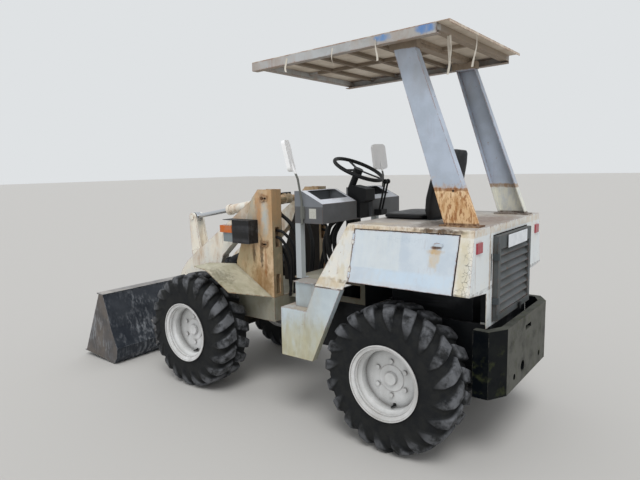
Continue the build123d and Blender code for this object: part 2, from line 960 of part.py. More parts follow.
def make_counterweight():
    """An open-topped thick tray round the tail, with chamfered rear corners."""
    outer = (
        (tail_arm_front_x, tail_half_width),
        (tail_corner_x, tail_half_width),
        (tail_rear_x, tail_flat_half_width),
        (tail_rear_x, -tail_flat_half_width),
        (tail_corner_x, -tail_half_width),
        (tail_arm_front_x, -tail_half_width),
    )
    chamfer = tail_wall * 0.55
    inner = (
        (tail_arm_front_x + 10, tail_half_width - tail_wall),
        (tail_corner_x + chamfer, tail_half_width - tail_wall),
        (tail_rear_x + tail_wall, tail_flat_half_width - chamfer),
        (tail_rear_x + tail_wall, -tail_flat_half_width + chamfer),
        (tail_corner_x + chamfer, -tail_half_width + tail_wall),
        (tail_arm_front_x + 10, -tail_half_width + tail_wall),
    )
    tray = flat_plate(outer, tail_bottom_z, tail_top_z)
    tray -= flat_plate(inner, tail_bottom_z + tail_floor, tail_top_z + 1)
    half = chassis_half_width + tail_notch_room
    tray -= block(chassis_rear_x, tail_arm_front_x + 1, -half, half, tail_bottom_z - 1, tail_top_z + 1)
    for side in left_right:
        tray -= rod(
            (tail_rear_x - 1, side * tail_hole_y, tail_hole_z),
            (tail_rear_x + tail_wall + 1, side * tail_hole_y, tail_hole_z),
            tail_hole_radius,
        )
    tray -= rod(
        (tail_rear_x - 1, tail_drain_y, tail_hole_z + tail_drain_rise),
        (tail_rear_x + tail_wall + 1, tail_drain_y, tail_hole_z + tail_drain_rise),
        tail_drain_radius,
    )
    return tray - block(
        tail_rear_x - 1,
        tail_rear_x + tail_wall + 1,
        -tail_slot_half_width,
        tail_slot_half_width,
        tail_slot_z - tail_slot_half_height,
        tail_slot_z + tail_slot_half_height,
    )


def make_reflector():
    """The left red reflector on the tail wall."""
    return block(
        cover_rear_x - reflector_depth,
        cover_rear_x,
        reflector_y - reflector_half_width,
        reflector_y + reflector_half_width,
        reflector_z - reflector_half_height,
        reflector_z + reflector_half_height,
    )


def make_step():
    """The left step: side skirt, tread and front plate folded from sheet, open inside."""
    outline = (
        (step_front_x, step_bottom_z),
        (step_front_x, step_top_z),
        (step_slope_x, step_top_z),
        (skirt_front_top_x, skirt_top_z),
        (skirt_rear_top_x, skirt_top_z),
        (skirt_rear_bottom_x, step_bottom_z),
    )
    step = side_plate(outline, step_outer_y - skirt_sheet, step_outer_y)
    tread_low_z = step_top_z - skirt_sheet
    step += block(step_slope_x, step_front_x, step_inner_y, step_outer_y, tread_low_z, step_top_z)
    face_back_x = step_front_x - skirt_sheet
    face_inner_y = step_outer_y - step_front_width
    step += block(face_back_x, step_front_x, face_inner_y, step_outer_y, step_bottom_z, tread_low_z)
    # Folded flanges along the front slope and the wheel side
    wheel_flange = (
        (skirt_rear_top_x, skirt_top_z),
        (skirt_rear_top_x + skirt_sheet, skirt_top_z),
        (skirt_rear_bottom_x + skirt_sheet, step_bottom_z),
        (skirt_rear_bottom_x, step_bottom_z),
    )
    step += side_plate(wheel_flange, step_outer_y - skirt_flange, step_outer_y)
    slope_flange = (
        (step_slope_x, step_top_z),
        (skirt_front_top_x, skirt_top_z),
        (skirt_front_top_x - skirt_sheet, skirt_top_z),
        (step_slope_x - skirt_sheet, step_top_z - skirt_sheet),
        (step_slope_x, step_top_z - skirt_sheet),
    )
    step += side_plate(slope_flange, floor_half_width + 6, step_outer_y)
    return step


def make_step_box():
    """The small lidded box that stands on the left step beside the floor."""
    low = step_top_z
    high = floor_z - step_box_lid
    box = block(step_box_x0, step_box_x1, step_inner_y, step_box_y1, low, high)
    box -= block(step_box_x0 - 60, step_slope_x + 8, step_inner_y - 1, step_box_y1 + 1, low - 1, low + 60)
    box += block(
        step_box_x0,
        step_box_x1 + step_box_lid_lip,
        step_inner_y,
        step_box_y1 + step_box_lid_lip,
        high,
        floor_z,
    )
    return box


def make_floor():
    """The operator's floor on two webs that stand on the chassis plates."""
    half = floor_half_width
    floor = block(floor_rear_x, floor_front_x, -half, half, floor_z - floor_sheet, floor_z)
    for side in left_right:
        inner = chassis_half_width - chassis_plate
        web = block(
            floor_rear_x + 20,
            chassis_front_x - 10,
            side * inner,
            side * chassis_half_width,
            chassis_top_z,
            floor_z - floor_sheet,
        )
        web -= block(
            floor_rear_x + 90,
            chassis_front_x - 80,
            side * (inner - 1),
            side * (chassis_half_width + 1),
            chassis_top_z + 36,
            floor_z - floor_sheet - 36,
        )
        floor += web
    return floor


def make_cowl():
    """Two square posts and the folded tray between them, with its open sloping trough."""
    front_slope = (
        (cowl_rear_x, cowl_bottom_z),
        (cowl_front_x, cowl_bottom_z),
        (cowl_front_x, cowl_front_z),
        (cowl_front_x - cowl_brow, cowl_front_z),
        (cowl_rear_x, cowl_rear_z),
    )
    tray = side_plate(front_slope, -cowl_half_width, cowl_half_width)
    hollow = (
        (cowl_rear_x + cowl_sheet, cowl_bottom_z + cowl_sheet),
        (cowl_front_x - cowl_sheet, cowl_bottom_z + cowl_sheet),
        (cowl_front_x - cowl_sheet, cowl_front_z + 20),
        (cowl_rear_x + cowl_sheet, cowl_front_z + 20),
    )
    y0 = cowl_centre_half_width + cowl_sheet
    y1 = cowl_half_width - cowl_sheet
    for side in left_right:
        tray -= side_plate(hollow, side * y0, side * y1)
    tray -= block(
        cowl_rear_x - 1,
        cowl_front_x + 1,
        -cowl_centre_half_width,
        cowl_centre_half_width,
        cowl_bottom_z + cowl_sheet,
        cowl_front_z + 20,
    )
    half = cowl_post_size / 2
    for side in left_right:
        tray += block(
            cowl_post_x - half,
            cowl_post_x + half,
            side * (cowl_post_y - half),
            side * (cowl_post_y + half),
            floor_z,
            cowl_bottom_z + 1,
        )
    foot = block(
        cowl_post_x - half - cowl_foot_rim,
        cowl_post_x + half + cowl_foot_rim,
        cowl_post_y - half - cowl_foot_rim,
        floor_half_width,
        floor_z,
        floor_z + cowl_foot_plate,
    )
    return tray + foot + mirrored(foot)


def make_column_parts():
    """The column box above the cowl's floor, its pedestal below, and the shaft to the wheel."""
    upper = side_plate(
        (
            (cowl_rear_x + 2, cowl_bottom_z + cowl_sheet),
            (column_front_x + column_brow, cowl_bottom_z + cowl_sheet),
            (column_front_x + column_brow, column_top_z - 20),
            (column_front_x, column_top_z),
            (column_rear_x, column_top_z - 26),
            (column_rear_x, cowl_rear_z),
            (cowl_rear_x + 2, cowl_rear_z - 20),
        ),
        -column_half_width,
        column_half_width,
    )
    tilt = radians(steering_wheel_tilt)
    top = Vector(steering_wheel_x, 0, steering_wheel_z)
    drop = Vector(sin(tilt), 0, -cos(tilt))
    seat = top + drop * (steering_hub_drop + running_gap)
    foot = top + drop * shaft_length
    upper += rod((seat.X, 0, seat.Z), (foot.X, 0, foot.Z), shaft_radius)
    pedestal = block(
        cowl_rear_x + pedestal_inset,
        column_front_x + pedestal_inset,
        -pedestal_half_width,
        pedestal_half_width,
        floor_z,
        cowl_bottom_z,
    )
    return upper, pedestal


def make_steering_wheel():
    """A three-spoke steering wheel with its hub, square to its tilted column."""
    wheel = Torus(steering_wheel_radius - steering_rim_radius, steering_rim_radius)
    hub_top = 5
    hub = Cylinder(steering_hub_radius, hub_top + steering_hub_drop)
    wheel += Pos(0, 0, (hub_top - steering_hub_drop) / 2) * hub
    for index in range(3):
        turn = 90 + 120 * index
        spoke = Pos((steering_wheel_radius - steering_rim_radius) / 2, 0, -4) * Box(
            steering_wheel_radius - steering_rim_radius, 20, 7
        )
        wheel += Rot(0, 0, turn) * spoke
    plane = Plane(
        origin=(steering_wheel_x, 0, steering_wheel_z),
        z_dir=(-sin(radians(steering_wheel_tilt)), 0, cos(radians(steering_wheel_tilt))),
        x_dir=(cos(radians(steering_wheel_tilt)), 0, sin(radians(steering_wheel_tilt))),
    )
    return plane * wheel


def make_levers():
    """Loader lever and direction lever beside the column, on one mounting bar."""
    y = -(cowl_centre_half_width + lever_reach)
    low = cowl_bottom_z + 10
    base = block(cowl_rear_x - 60, cowl_rear_x, y - 2 * lever_spread, y + 2 * lever_spread, low, low + 40)
    for offset in (-lever_spread, lever_spread):
        foot = (cowl_rear_x - 30, y + offset, low + 30)
        knob = (foot[0] - lever_rake, y + offset, foot[2] + lever_rise)
        base += rod(foot, knob, lever_radius) + Pos(*knob) * Sphere(lever_knob_radius)
    return base


def make_seat():
    """Seat base, cushion and backrest, returned one by one."""
    half = seat_half_width
    base_top = cover_top_z + seat_base_height
    low = base_top + cushion_gap
    back_x = seat_front_x - cushion_length - 1
    base = block(
        back_x - back_foot_thickness + seat_base_inset,
        seat_front_x - seat_base_inset,
        -half + seat_base_inset,
        half - seat_base_inset,
        cover_top_z,
        base_top,
    )
    cushion = block(seat_front_x - cushion_length, seat_front_x, -half, half, low, base_top + cushion_height)
    front_edges = cushion.edges().filter_by(Axis.Z).group_by(Axis.X)[-1]
    cushion = fillet(front_edges, cushion_corner)
    # The back leans away and swells forward at the operator's loins
    head_z = low + back_height
    lean_outline = (
        (back_x, low),
        (back_x, base_top + cushion_height),
        (back_x + back_bulge, low + back_bulge_height),
        (back_x - 0.3 * back_lean, low + 0.5 * back_height),
        (back_x - back_lean, head_z),
        (back_x - back_lean - back_head_thickness, head_z - 0.2 * back_head_thickness),
        (back_x - back_foot_thickness, low + back_bulge_height),
        (back_x - back_foot_thickness, low),
    )
    back = side_plate(lean_outline, -half, half)
    # Its sides draw in above the shoulder
    front_outline = (
        (half, low),
        (half, low + back_shoulder_height),
        (back_head_half_width, head_z),
        (-back_head_half_width, head_z),
        (-half, low + back_shoulder_height),
        (-half, low),
    )
    back &= end_plate(front_outline, back_x - back_lean - back_foot_thickness, back_x + back_foot_thickness)
    return base, cushion, back


def make_mirror():
    """The left mirror, turned to the seat, on its bent arm from the cowl's side."""
    y_arm = cowl_half_width + mirror_arm_out
    root = (mirror_arm_x, y_arm, cowl_bottom_z)
    knee = (mirror_arm_x, y_arm, cowl_front_z - 60)
    back = (mirror_x, mirror_y, mirror_z)
    arm = None
    for start, end in ((root, knee), (knee, mirror_elbow), (mirror_elbow, back)):
        span = rod(start, end, mirror_arm_radius) + Pos(*start) * Sphere(mirror_arm_radius)
        arm = span if arm is None else arm + span
    pad_x = (mirror_arm_x - 2 * mirror_arm_radius, mirror_arm_x + 2 * mirror_arm_radius)
    arm += block(*pad_x, cowl_half_width, y_arm, cowl_bottom_z + 30, cowl_bottom_z + 110)
    sketch = RectangleRounded(2 * mirror_half_width, mirror_height, mirror_corner)
    head = extrude(Plane.YZ * sketch, amount=mirror_thickness / 2, both=True)
    return arm + Pos(*back) * Rot(0, 0, mirror_turn) * Rot(0, mirror_lean, 0) * head


def make_canopy_post():
    """The left canopy post: a tapering channel open inwards, leaning forward, on its foot plate."""
    low = cover_top_z + post_base_plate
    high = roof_top_rear_z - beam_height - saddle_drop
    share = (high - low) / (roof_top_rear_z - beam_height - low)
    front_top = post_base_front_x + (post_top_front_x - post_base_front_x) * share
    rear_top = post_base_rear_x + (post_top_rear_x - post_base_rear_x) * share
    outline = (
        (post_base_front_x, low),
        (front_top, high),
        (rear_top, high),
        (post_base_rear_x, low),
    )
    post = side_plate(outline, post_y - post_depth, post_y)
    hollow = (
        (post_base_front_x - post_sheet, low - 1),
        (front_top - post_sheet, high + 1),
        (rear_top + post_sheet, high + 1),
        (post_base_rear_x + post_sheet, low - 1),
    )
    post -= side_plate(hollow, post_y - post_depth - 1, post_y - post_sheet)
    post += block(
        post_base_rear_x - 22,
        post_base_front_x + 22,
        post_y - post_depth - 20,
        post_y + 24,
        cover_top_z,
        low,
    )
    cap = block(rear_top, front_top, post_y - post_depth, post_y, high - 8, high)
    return post + cap


def roof_z(x):
    """Height of the roof frame's top at x: it falls gently to the front."""
    share = (x - roof_rear_x) / (roof_front_x - roof_rear_x)
    return roof_top_rear_z + (roof_top_front_z - roof_top_rear_z) * share - roof_sheet


def roof_strip(x0, x1, y0, y1, down, depth):
    """A member of the roof frame that follows its fall, from down below the top to down + depth."""
    outline = (
        (x0, roof_z(x0) - down),
        (x1, roof_z(x1) - down),
        (x1, roof_z(x1) - down - depth),
        (x0, roof_z(x0) - down - depth),
    )
    return side_plate(outline, y0, y1)


def make_canopy_frame():
    """Two side channels, end channels and cross bearers, with the saddles that sit on the posts."""
    frame = None
    for side in left_right:
        outer = side * roof_half_width
        web_y = side * (roof_half_width - beam_sheet)
        beam = roof_strip(roof_rear_x, roof_front_x, outer, web_y, 0, beam_height)
        for down in (0, beam_height - beam_sheet):
            beam += roof_strip(
                roof_rear_x, roof_front_x, outer, side * (roof_half_width - beam_width), down, beam_sheet
            )
        frame = beam if frame is None else frame + beam
    inner = roof_half_width - beam_sheet / 2
    for x in (roof_rear_x, roof_front_x - end_beam_width):
        frame += roof_strip(x, x + end_beam_width, -inner, inner, 0, end_beam_depth)
    pitch = (roof_front_x - roof_rear_x - end_beam_width) / (rib_count + 1)
    for index in range(rib_count):
        x = roof_rear_x + (end_beam_width - rib_width) / 2 + pitch * (index + 1)
        frame += roof_strip(x, x + rib_width, -inner, inner, 0, rib_depth)
    frame += roof_strip(roof_rear_x, roof_front_x, -rib_width / 2, rib_width / 2, 0, rib_depth)
    high = roof_top_rear_z - beam_height - saddle_drop
    rear_top, front_top = post_top_rear_x - saddle_rim, post_top_front_x + saddle_rim
    middle = (rear_top + front_top) / 2
    saddle_beam = (middle - saddle_beam_width / 2, middle + saddle_beam_width / 2)
    frame += roof_strip(*saddle_beam, -inner, inner, 0, end_beam_depth)
    for side in left_right:
        saddle = side_plate(
            (
                (rear_top, high),
                (front_top, high),
                (front_top, roof_z(front_top) - beam_height / 2),
                (rear_top, roof_z(rear_top) - beam_height / 2),
            ),
            side * (post_y - post_depth),
            side * post_y,
        )
        frame += saddle
    return frame


def make_canopy_roof():
    """The roof sheet with a turned-down edge, resting on the frame."""
    half = roof_half_width
    x0 = roof_overhang_rear_x
    sheet = roof_strip(x0, roof_front_x, -half, half, -roof_sheet, roof_sheet)
    return sheet + roof_strip(x0, x0 + roof_sheet, -half, half, -roof_sheet, roof_turned_edge)


def make_front_frame():
    """The front box: side plates, top, cross plates and the two pivot lugs behind it."""
    x0, x1 = front_box_rear_x, front_box_front_x
    y = front_box_half_width
    z0, z1 = front_box_bottom_z, front_box_top_z
    t = front_box_plate
    box = block(x0, x1, -y, y, z0, z1)
    box -= block(x0 + t, x1 - t, -y + t, y - t, z0 - 1, z1 - t)
    low_lug_z = rear_tongue_bottom_z - pivot_washer_gap - front_lug_plate
    high_lug_z = rear_tongue_top_z + pivot_washer_gap
    box += block(x0, x0 + t, -lug_skirt_half_width, lug_skirt_half_width, low_lug_z, z0 + 10)
    for low in (low_lug_z, high_lug_z):
        lug = flat_plate(
            (
                (x0 + t / 2, -lug_skirt_half_width),
                (x0 + t / 2, lug_skirt_half_width),
                (0, pivot_round_radius),
                (0, -pivot_round_radius),
            ),
            low,
            low + front_lug_plate,
        )
        lug += rod((0, 0, low), (0, 0, low + front_lug_plate), pivot_round_radius)
        lug -= rod((0, 0, low - 1), (0, 0, low + front_lug_plate + 1), pivot_pin_radius + pin_clearance)
        box += lug
    # Ears for the rods of the two steering cylinders
    for side in left_right:
        for low in steer_plate_levels():
            high = low + steer_lug_plate
            eye_y = side * steer_eye_y
            box += block(steer_eye_x, x0 + t, eye_y - steer_ear_radius, eye_y + steer_ear_radius, low, high)
            box += rod((steer_eye_x, eye_y, low), (steer_eye_x, eye_y, high), steer_ear_radius)
    return box


def make_pivot_pin():
    """The steering pin through both pairs of lugs, with a head on top and a collar below."""
    low = rear_tongue_bottom_z - pivot_washer_gap - front_lug_plate
    high = rear_tongue_top_z + pivot_washer_gap + front_lug_plate
    pin = rod((0, 0, low - pin_head_height), (0, 0, high + pin_head_height), pivot_pin_radius)
    pin += rod((0, 0, high), (0, 0, high + pin_head_height), pin_head_radius)
    pin += rod((0, 0, low - pin_head_height), (0, 0, low), pin_head_radius)
    return pin


def tower_outline(inset):
    """The tower plate's (x, z) outline, from its foot on the front box, drawn in by inset."""
    return (
        (tower_rear_x + inset, front_box_top_z),
        (tower_rear_x + inset, tower_top_z - inset),
        (tower_top_front_x - inset, tower_top_z - inset),
        (tower_shoulder_x - inset, tower_shoulder_z),
        (tower_chest_x - inset, tower_chest_z),
        (tower_foot_x - inset, tower_foot_z),
        (tower_foot_x - inset, front_box_top_z),
    )


def make_tower():
    """Two channel columns, open to the front, each of two cheek plates and a rear web, and their ties."""
    tower = None
    for side in left_right:
        outer = side_plate(tower_outline(0), side * (tower_outer_y - tower_plate), side * tower_outer_y)
        inner_y = (side * tower_inner_y, side * (tower_inner_y + tower_inner_plate))
        inner = side_plate(tower_outline(0), *inner_y)
        web = block(
            tower_rear_x,
            tower_rear_x + tower_plate,
            side * tower_inner_y,
            side * tower_outer_y,
            front_box_top_z,
            tower_top_z,
        )
        middle = (tower_inner_y + tower_outer_y) / 2
        half = (tower_outer_y - tower_inner_y) / 2 - web_hole_inset
        for z in web_hole_z:
            web -= block(
                tower_rear_x - 1,
                tower_rear_x + tower_plate + 1,
                side * (middle - half),
                side * (middle + half),
                z - web_hole_half_height,
                z + web_hole_half_height,
            )
        column = outer + inner + web
        for x, z, radius in (
            (boom_pivot_x, boom_pivot_z, boom_pin_radius),
            (lift_base_x, lift_base_z, lift_pin_radius),
        ):
            end_y = side * (tower_outer_y + pin_end_out)
            column += cross_rod(x, z, radius, side * (tower_inner_y + 1), end_y)
            keeper_y = (side * tower_outer_y, side * (tower_outer_y + keeper_plate))
            keeper_z = (z - keeper_half_height, z + keeper_half_height)
            column += block(x - keeper_length, x, *keeper_y, *keeper_z)
        tower = column if tower is None else tower + column
    tower += cross_rod(tilt_base_x, tilt_base_z, boom_pin_radius, -tower_inner_y, tower_inner_y)
    return tower


def make_fender():
    """The left front fender: a folded plate from the tower cheek over the tyre, cut back at its corners."""
    rear_z = fender_bend_z - (fender_bend_x - fender_rear_inner_x) * tan(radians(fender_slope))
    top = (
        (fender_rear_inner_x, rear_z),
        (fender_bend_x, fender_bend_z),
        (fender_front_x, fender_front_z),
        (fender_front_x, fender_front_z - fender_sheet),
        (fender_bend_x, fender_bend_z - fender_sheet),
        (fender_rear_inner_x, rear_z - fender_sheet),
    )
    plate = side_plate(top, fender_inner_y, fender_outer_y)
    # The rear edge runs from the inner rear corner out to the outer rear corner
    rear_cut = flat_plate(
        (
            (fender_rear_inner_x - 1, fender_inner_y),
            (fender_rear_outer_x, fender_outer_y + 1),
            (fender_rear_inner_x - 1, fender_outer_y + 1),
        ),
        chassis_belly_z,
        cover_top_z,
    )
    nose_cut = flat_plate(
        (
            (tower_foot_x + 20, fender_inner_y - 1),
            (fender_front_x, fender_inner_y + fender_nose_cut),
            (fender_front_x + 20, fender_inner_y + fender_nose_cut),
            (fender_front_x + 20, fender_inner_y - 1),
        ),
        chassis_belly_z,
        cover_top_z,
    )
    return plate - rear_cut - nose_cut


def make_headlamp_box():
    """The left lamp box: a sheet housing open to the front, with a visor over the lamps."""
    s = lamp_sheet
    box = block(lamp_rear_x, lamp_front_x, tower_outer_y, lamp_outer_y, lamp_bottom_z, lamp_top_z)
    box -= block(
        lamp_rear_x + s,
        lamp_front_x + 1,
        tower_outer_y + s,
        lamp_outer_y - s,
        lamp_bottom_z + s,
        lamp_top_z - s,
    )
    visor_x = (lamp_front_x, lamp_front_x + lamp_visor)
    return box + block(*visor_x, tower_outer_y, lamp_outer_y, lamp_top_z - s, lamp_top_z)


def make_signal():
    """The left turn signal, on top of the headlamp under the visor."""
    low = lamp_bottom_z + lamp_sheet + lamp_body_height
    rear_x = lamp_front_x + signal_gap
    lens = block(rear_x, rear_x + signal_length, signal_inner_y, lamp_outer_y, low, low + signal_height)
    return fillet(lens.edges().filter_by(Axis.Z), signal_corner)


def make_headlamp():
    """The left headlamp, a rounded block that stands on the lamp box's floor and looks out of its front."""
    body = block(
        lamp_front_x - lamp_body_back,
        lamp_front_x + lamp_body_front,
        tower_outer_y + lamp_side_gap,
        lamp_outer_y - lamp_side_gap,
        lamp_bottom_z + lamp_sheet,
        lamp_bottom_z + lamp_sheet + lamp_body_height,
    )
    return fillet(body.edges().filter_by(Axis.Z), lamp_corner)


def make_boom_arm():
    """The left boom arm, a deep box plate cranked down to the bucket."""
    outline = (
        ((boom_pivot_x + 18, boom_pivot_z + 56),)
        + arm_top_edge
        + (
            (bucket_pin_x + 24, bucket_pin_z + 42),
            (bucket_pin_x - 10, bucket_pin_z - 48),
            (bucket_pin_x - 58, bucket_pin_z - 20),
        )
        + arm_bottom_edge
        + ((boom_pivot_x + 30, boom_pivot_z - 58),)
    )
    arm = side_plate(outline, arm_inner_y, arm_outer_y)
    arm += cross_rod(boom_pivot_x, boom_pivot_z, arm_boss_radius, arm_inner_y, arm_outer_y)
    bore_radius = boom_pin_radius + pin_clearance
    arm -= cross_rod(boom_pivot_x, boom_pivot_z, bore_radius, arm_inner_y - 1, arm_outer_y + 1)
    arm += cross_rod(bucket_pin_x, bucket_pin_z, bucket_boss_radius, arm_inner_y, arm_outer_y)
    # The lift cylinder's eye swings between two lugs that run on from the arm's sides
    lug_rear_x = lift_eye_x - lift_lug_rear
    lug_front_x = lift_eye_x + lift_lug_front
    lug = (
        (lug_rear_x, edge_height(arm_bottom_edge, lug_rear_x) + 10),
        (lug_front_x, edge_height(arm_bottom_edge, lug_front_x) + 10),
        (lift_eye_x + 30, lift_eye_z - 26),
        (lift_eye_x - 30, lift_eye_z - 26),
    )
    arm += side_plate(lug, arm_inner_y, arm_outer_y)
    arm += cross_rod(lift_eye_x, lift_eye_z, lift_lug_radius, arm_inner_y, arm_outer_y)
    pocket_y = (arm_inner_y + lift_lug_plate, arm_outer_y - lift_lug_plate)
    arm -= cross_rod(lift_eye_x, lift_eye_z, lift_pocket_radius, *pocket_y)
    # The rod leaves the pocket through a channel that follows its slope and is open below
    slope = (lift_base_z - lift_eye_z) / (lift_eye_x - lift_base_x)
    channel_x = lift_eye_x - lift_channel_length
    channel = (
        (lift_eye_x, lift_eye_z + lift_channel_above),
        (lift_eye_x, lift_eye_z - lift_pocket_radius),
        (channel_x, lift_eye_z - lift_pocket_radius),
        (channel_x, lift_eye_z + lift_channel_above + slope * lift_channel_length),
    )
    return arm - side_plate(channel, *pocket_y)


def make_boom():
    """Both arms, the cross tube between them and the bellcrank's bracket."""
    boom = make_boom_arm() + mirrored(make_boom_arm())
    boom += cross_rod(cross_tube_x, cross_tube_z, cross_tube_radius, -arm_inner_y - 1, arm_inner_y + 1)
    for side in left_right:
        inner = bell_half_gap + bell_plate + ear_gap
        bracket = side_plate(
            (
                (cross_tube_x - 40, cross_tube_z + 50),
                (bell_pivot_x - 30, bell_pivot_z + 34),
                (bell_pivot_x + 34, bell_pivot_z + 14),
                (bell_pivot_x + 20, bell_pivot_z - 40),
                (cross_tube_x + 60, cross_tube_z - 40),
            ),
            side * inner,
            side * (inner + ear_plate),
        )
        boom += bracket
    pin_reach = bell_half_gap + bell_plate + ear_gap + 1
    boom += cross_rod(bell_pivot_x, bell_pivot_z, bucket_pin_radius, -pin_reach, pin_reach)
    ear_reach = ear_gap + ear_plate + pin_end
    for side in left_right:
        pin_y = (side * (arm_inner_y - ear_reach), side * (arm_outer_y + ear_reach))
        boom += cross_rod(bucket_pin_x, bucket_pin_z, bucket_pin_radius, *pin_y)
    return boom


def strap(points, widths, y0, y1):
    """A plate along a line of pins, with a round eye at each pin and straight flanks between them."""
    plate = None
    for (x, z), radius in zip(points, widths):
        eye = cross_rod(x, z, radius, y0, y1)
        plate = eye if plate is None else plate + eye
    for (a, ra), (b, rb) in zip(zip(points, widths), zip(points[1:], widths[1:])):
        length = hypot(b[0] - a[0], b[1] - a[1])
        nx, nz = -(b[1] - a[1]) / length, (b[0] - a[0]) / length
        flank = (
            (a[0] + nx * ra, a[1] + nz * ra),
            (b[0] + nx * rb, b[1] + nz * rb),
            (b[0] - nx * rb, b[1] - nz * rb),
            (a[0] - nx * ra, a[1] - nz * ra),
        )
        plate += side_plate(flank, y0, y1)
    return plate


def make_bellcrank():
    """Two cranked plates on one hub, with a pin at the lower eye."""
    points = ((bell_top_x, bell_top_z), (bell_pivot_x, bell_pivot_z), (bell_low_x, bell_low_z))
    widths = (link_eye_radius, bell_waist_radius, link_eye_radius)
    crank = None
    for side in left_right:
        plate = strap(points, widths, side * bell_half_gap, side * (bell_half_gap + bell_plate))
        crank = plate if crank is None else crank + plate
    reach = bell_half_gap + bell_plate + pin_end
    crank += cross_rod(bell_pivot_x, bell_pivot_z, bell_hub_radius, -bell_half_gap - 1, bell_half_gap + 1)
    crank -= cross_rod(bell_pivot_x, bell_pivot_z, bucket_pin_radius + pin_clearance, -reach, reach)
    crank += cross_rod(bell_low_x, bell_low_z, link_pin_radius, -reach, reach)
    # Heads of the upper pin, on the outer faces of both plates
    for side in left_right:
        head_y = side * (bell_half_gap + bell_plate)
        crank += cross_rod(bell_top_x, bell_top_z, boom_pin_radius, head_y, head_y + side * pin_end)
    return crank


def make_link():
    """The push link from the bellcrank to the bucket's ears."""
    half = link_width / 2
    points = ((bell_low_x, bell_low_z), (bucket_link_x, bucket_link_z))
    link = strap(points, (link_eye_radius, link_eye_radius), -half, half)
    link -= cross_rod(bell_low_x, bell_low_z, link_pin_radius + pin_clearance, -half - 1, half + 1)
    return link


def make_bucket():
    """A welded bucket: wrapped shell, two side plates, cutting edge, lip rail and hinge ears."""
    inner = offset_line(bucket_wrap, bucket_shell)
    # The ears reach to the middle of the shell's thickness
    seat = offset_line(bucket_wrap, bucket_shell / 2)
    inset = bucket_half_width - 1
    shell = side_plate(bucket_wrap + inner[::-1], -inset, inset)
    edge_rear_x = bucket_tip_x - bucket_edge_length
    edge = side_plate(
        (
            (bucket_tip_x, bucket_tip_z),
            (edge_rear_x, bucket_tip_z + 9),
            (edge_rear_x, bucket_tip_z + 9 - bucket_edge_thickness),
            (bucket_tip_x - 10, bucket_tip_z - 6),
        ),
        -bucket_half_width,
        bucket_half_width,
    )
    lip_x, lip_z = bucket_wrap[-1]
    lip = side_plate(
        (
            (lip_x - 7, lip_z + 8),
            (lip_x + bucket_lip_reach, lip_z + 13),
            (lip_x + bucket_lip_reach, lip_z + 13 - bucket_lip_thickness),
            (lip_x + 40, lip_z),
            (lip_x + 6, lip_z - 16),
        ),
        -inset,
        inset,
    )
    bucket = shell + edge + lip
    cheek = (
        ((bucket_tip_x - 29, bucket_tip_z + 4), (edge_rear_x, bucket_wrap[0][1]))
        + bucket_wrap[1:]
        + ((bucket_apex_x + 22, bucket_apex_z + 6),)
    )
    for side in left_right:
        bucket += side_plate(cheek, side * (bucket_half_width - bucket_side_plate), side * bucket_half_width)
    ear = (
        (bucket_pin_x - 44, bucket_pin_z - 30),
        (bucket_pin_x - 44, bucket_pin_z + 30),
        (bucket_pin_x + 10, bucket_pin_z + 62),
        seat[4],
        seat[3],
        seat[2],
        (bucket_pin_x, bucket_pin_z - 48),
    )
    for side in left_right:
        for y0, y1 in (
            (arm_inner_y - ear_gap - ear_plate, arm_inner_y - ear_gap),
            (arm_outer_y + ear_gap, arm_outer_y + ear_gap + ear_plate),
        ):
            plate = side_plate(ear, side * y0, side * y1)
            plate += cross_rod(bucket_pin_x, bucket_pin_z, bucket_boss_radius, side * y0, side * y1)
            bore_y = (side * (y0 - 1), side * (y1 + 1))
            plate -= cross_rod(bucket_pin_x, bucket_pin_z, bucket_pin_radius + pin_clearance, *bore_y)
            bucket += plate
        y0 = link_width / 2 + ear_gap
        link_ear = (
            (bucket_link_x - 20, bucket_link_z - 32),
            (bucket_link_x - 20, bucket_link_z + 32),
            (bucket_link_x + 10, bucket_link_z + 37),
            seat[5],
            seat[3],
            bucket_ear_foot,
        )
        plate = side_plate(link_ear, side * y0, side * (y0 + ear_plate))
        boss_y = (side * y0, side * (y0 + ear_plate + 6))
        plate += cross_rod(bucket_link_x, bucket_link_z, link_eye_radius, *boss_y)
        bucket += plate
    return bucket


def cylinder_pair(base, eye, y, barrel_radius, rod_radius, barrel_length, eye_width, pin_radius, room):
    """A hydraulic cylinder in the plane of y: barrel with its base eye and gland, then rod with its eye."""
    length = hypot(eye[0] - base[0], eye[1] - base[1])
    angle = degrees(atan2(eye[1] - base[1], eye[0] - base[0]))
    half = eye_width / 2
    # Built along +X, then turned in the XZ plane and moved to the base pin
    barrel = rod((barrel_radius * 0.9, 0, 0), (barrel_length, 0, 0), barrel_radius)
    barrel += rod((barrel_length - gland_length, 0, 0), (barrel_length, 0, 0), barrel_radius + gland_wall)
    barrel += cross_rod(0, 0, pin_radius + 16, -half, half)
    barrel -= cross_rod(0, 0, pin_radius + pin_clearance, -half - 1, half + 1)
    barrel -= rod((barrel_radius + barrel_head, 0, 0), (barrel_length + 1, 0, 0), rod_radius + bore_gap)
    piston = rod((barrel_radius + barrel_head + room, 0, 0), (length - 10, 0, 0), rod_radius)
    piston += cross_rod(length, 0, pin_radius + 16, -half, half)
    place = Pos(base[0], y, base[1]) * Rot(0, -angle, 0)
    return place * barrel, place * piston


os.makedirs("parts", exist_ok=True)

# Wheels
rim = make_rim()
tyre = make_tyre()
for end, axle_x in (("rear", rear_axle_x), ("front", front_axle_x)):
    for label, side in (("left", 1), ("right", -1)):
        write(f"rim_{end}_{label}", place_wheel(rim, axle_x, side))
        write(f"tyre_{end}_{label}", place_wheel(tyre, axle_x, side))

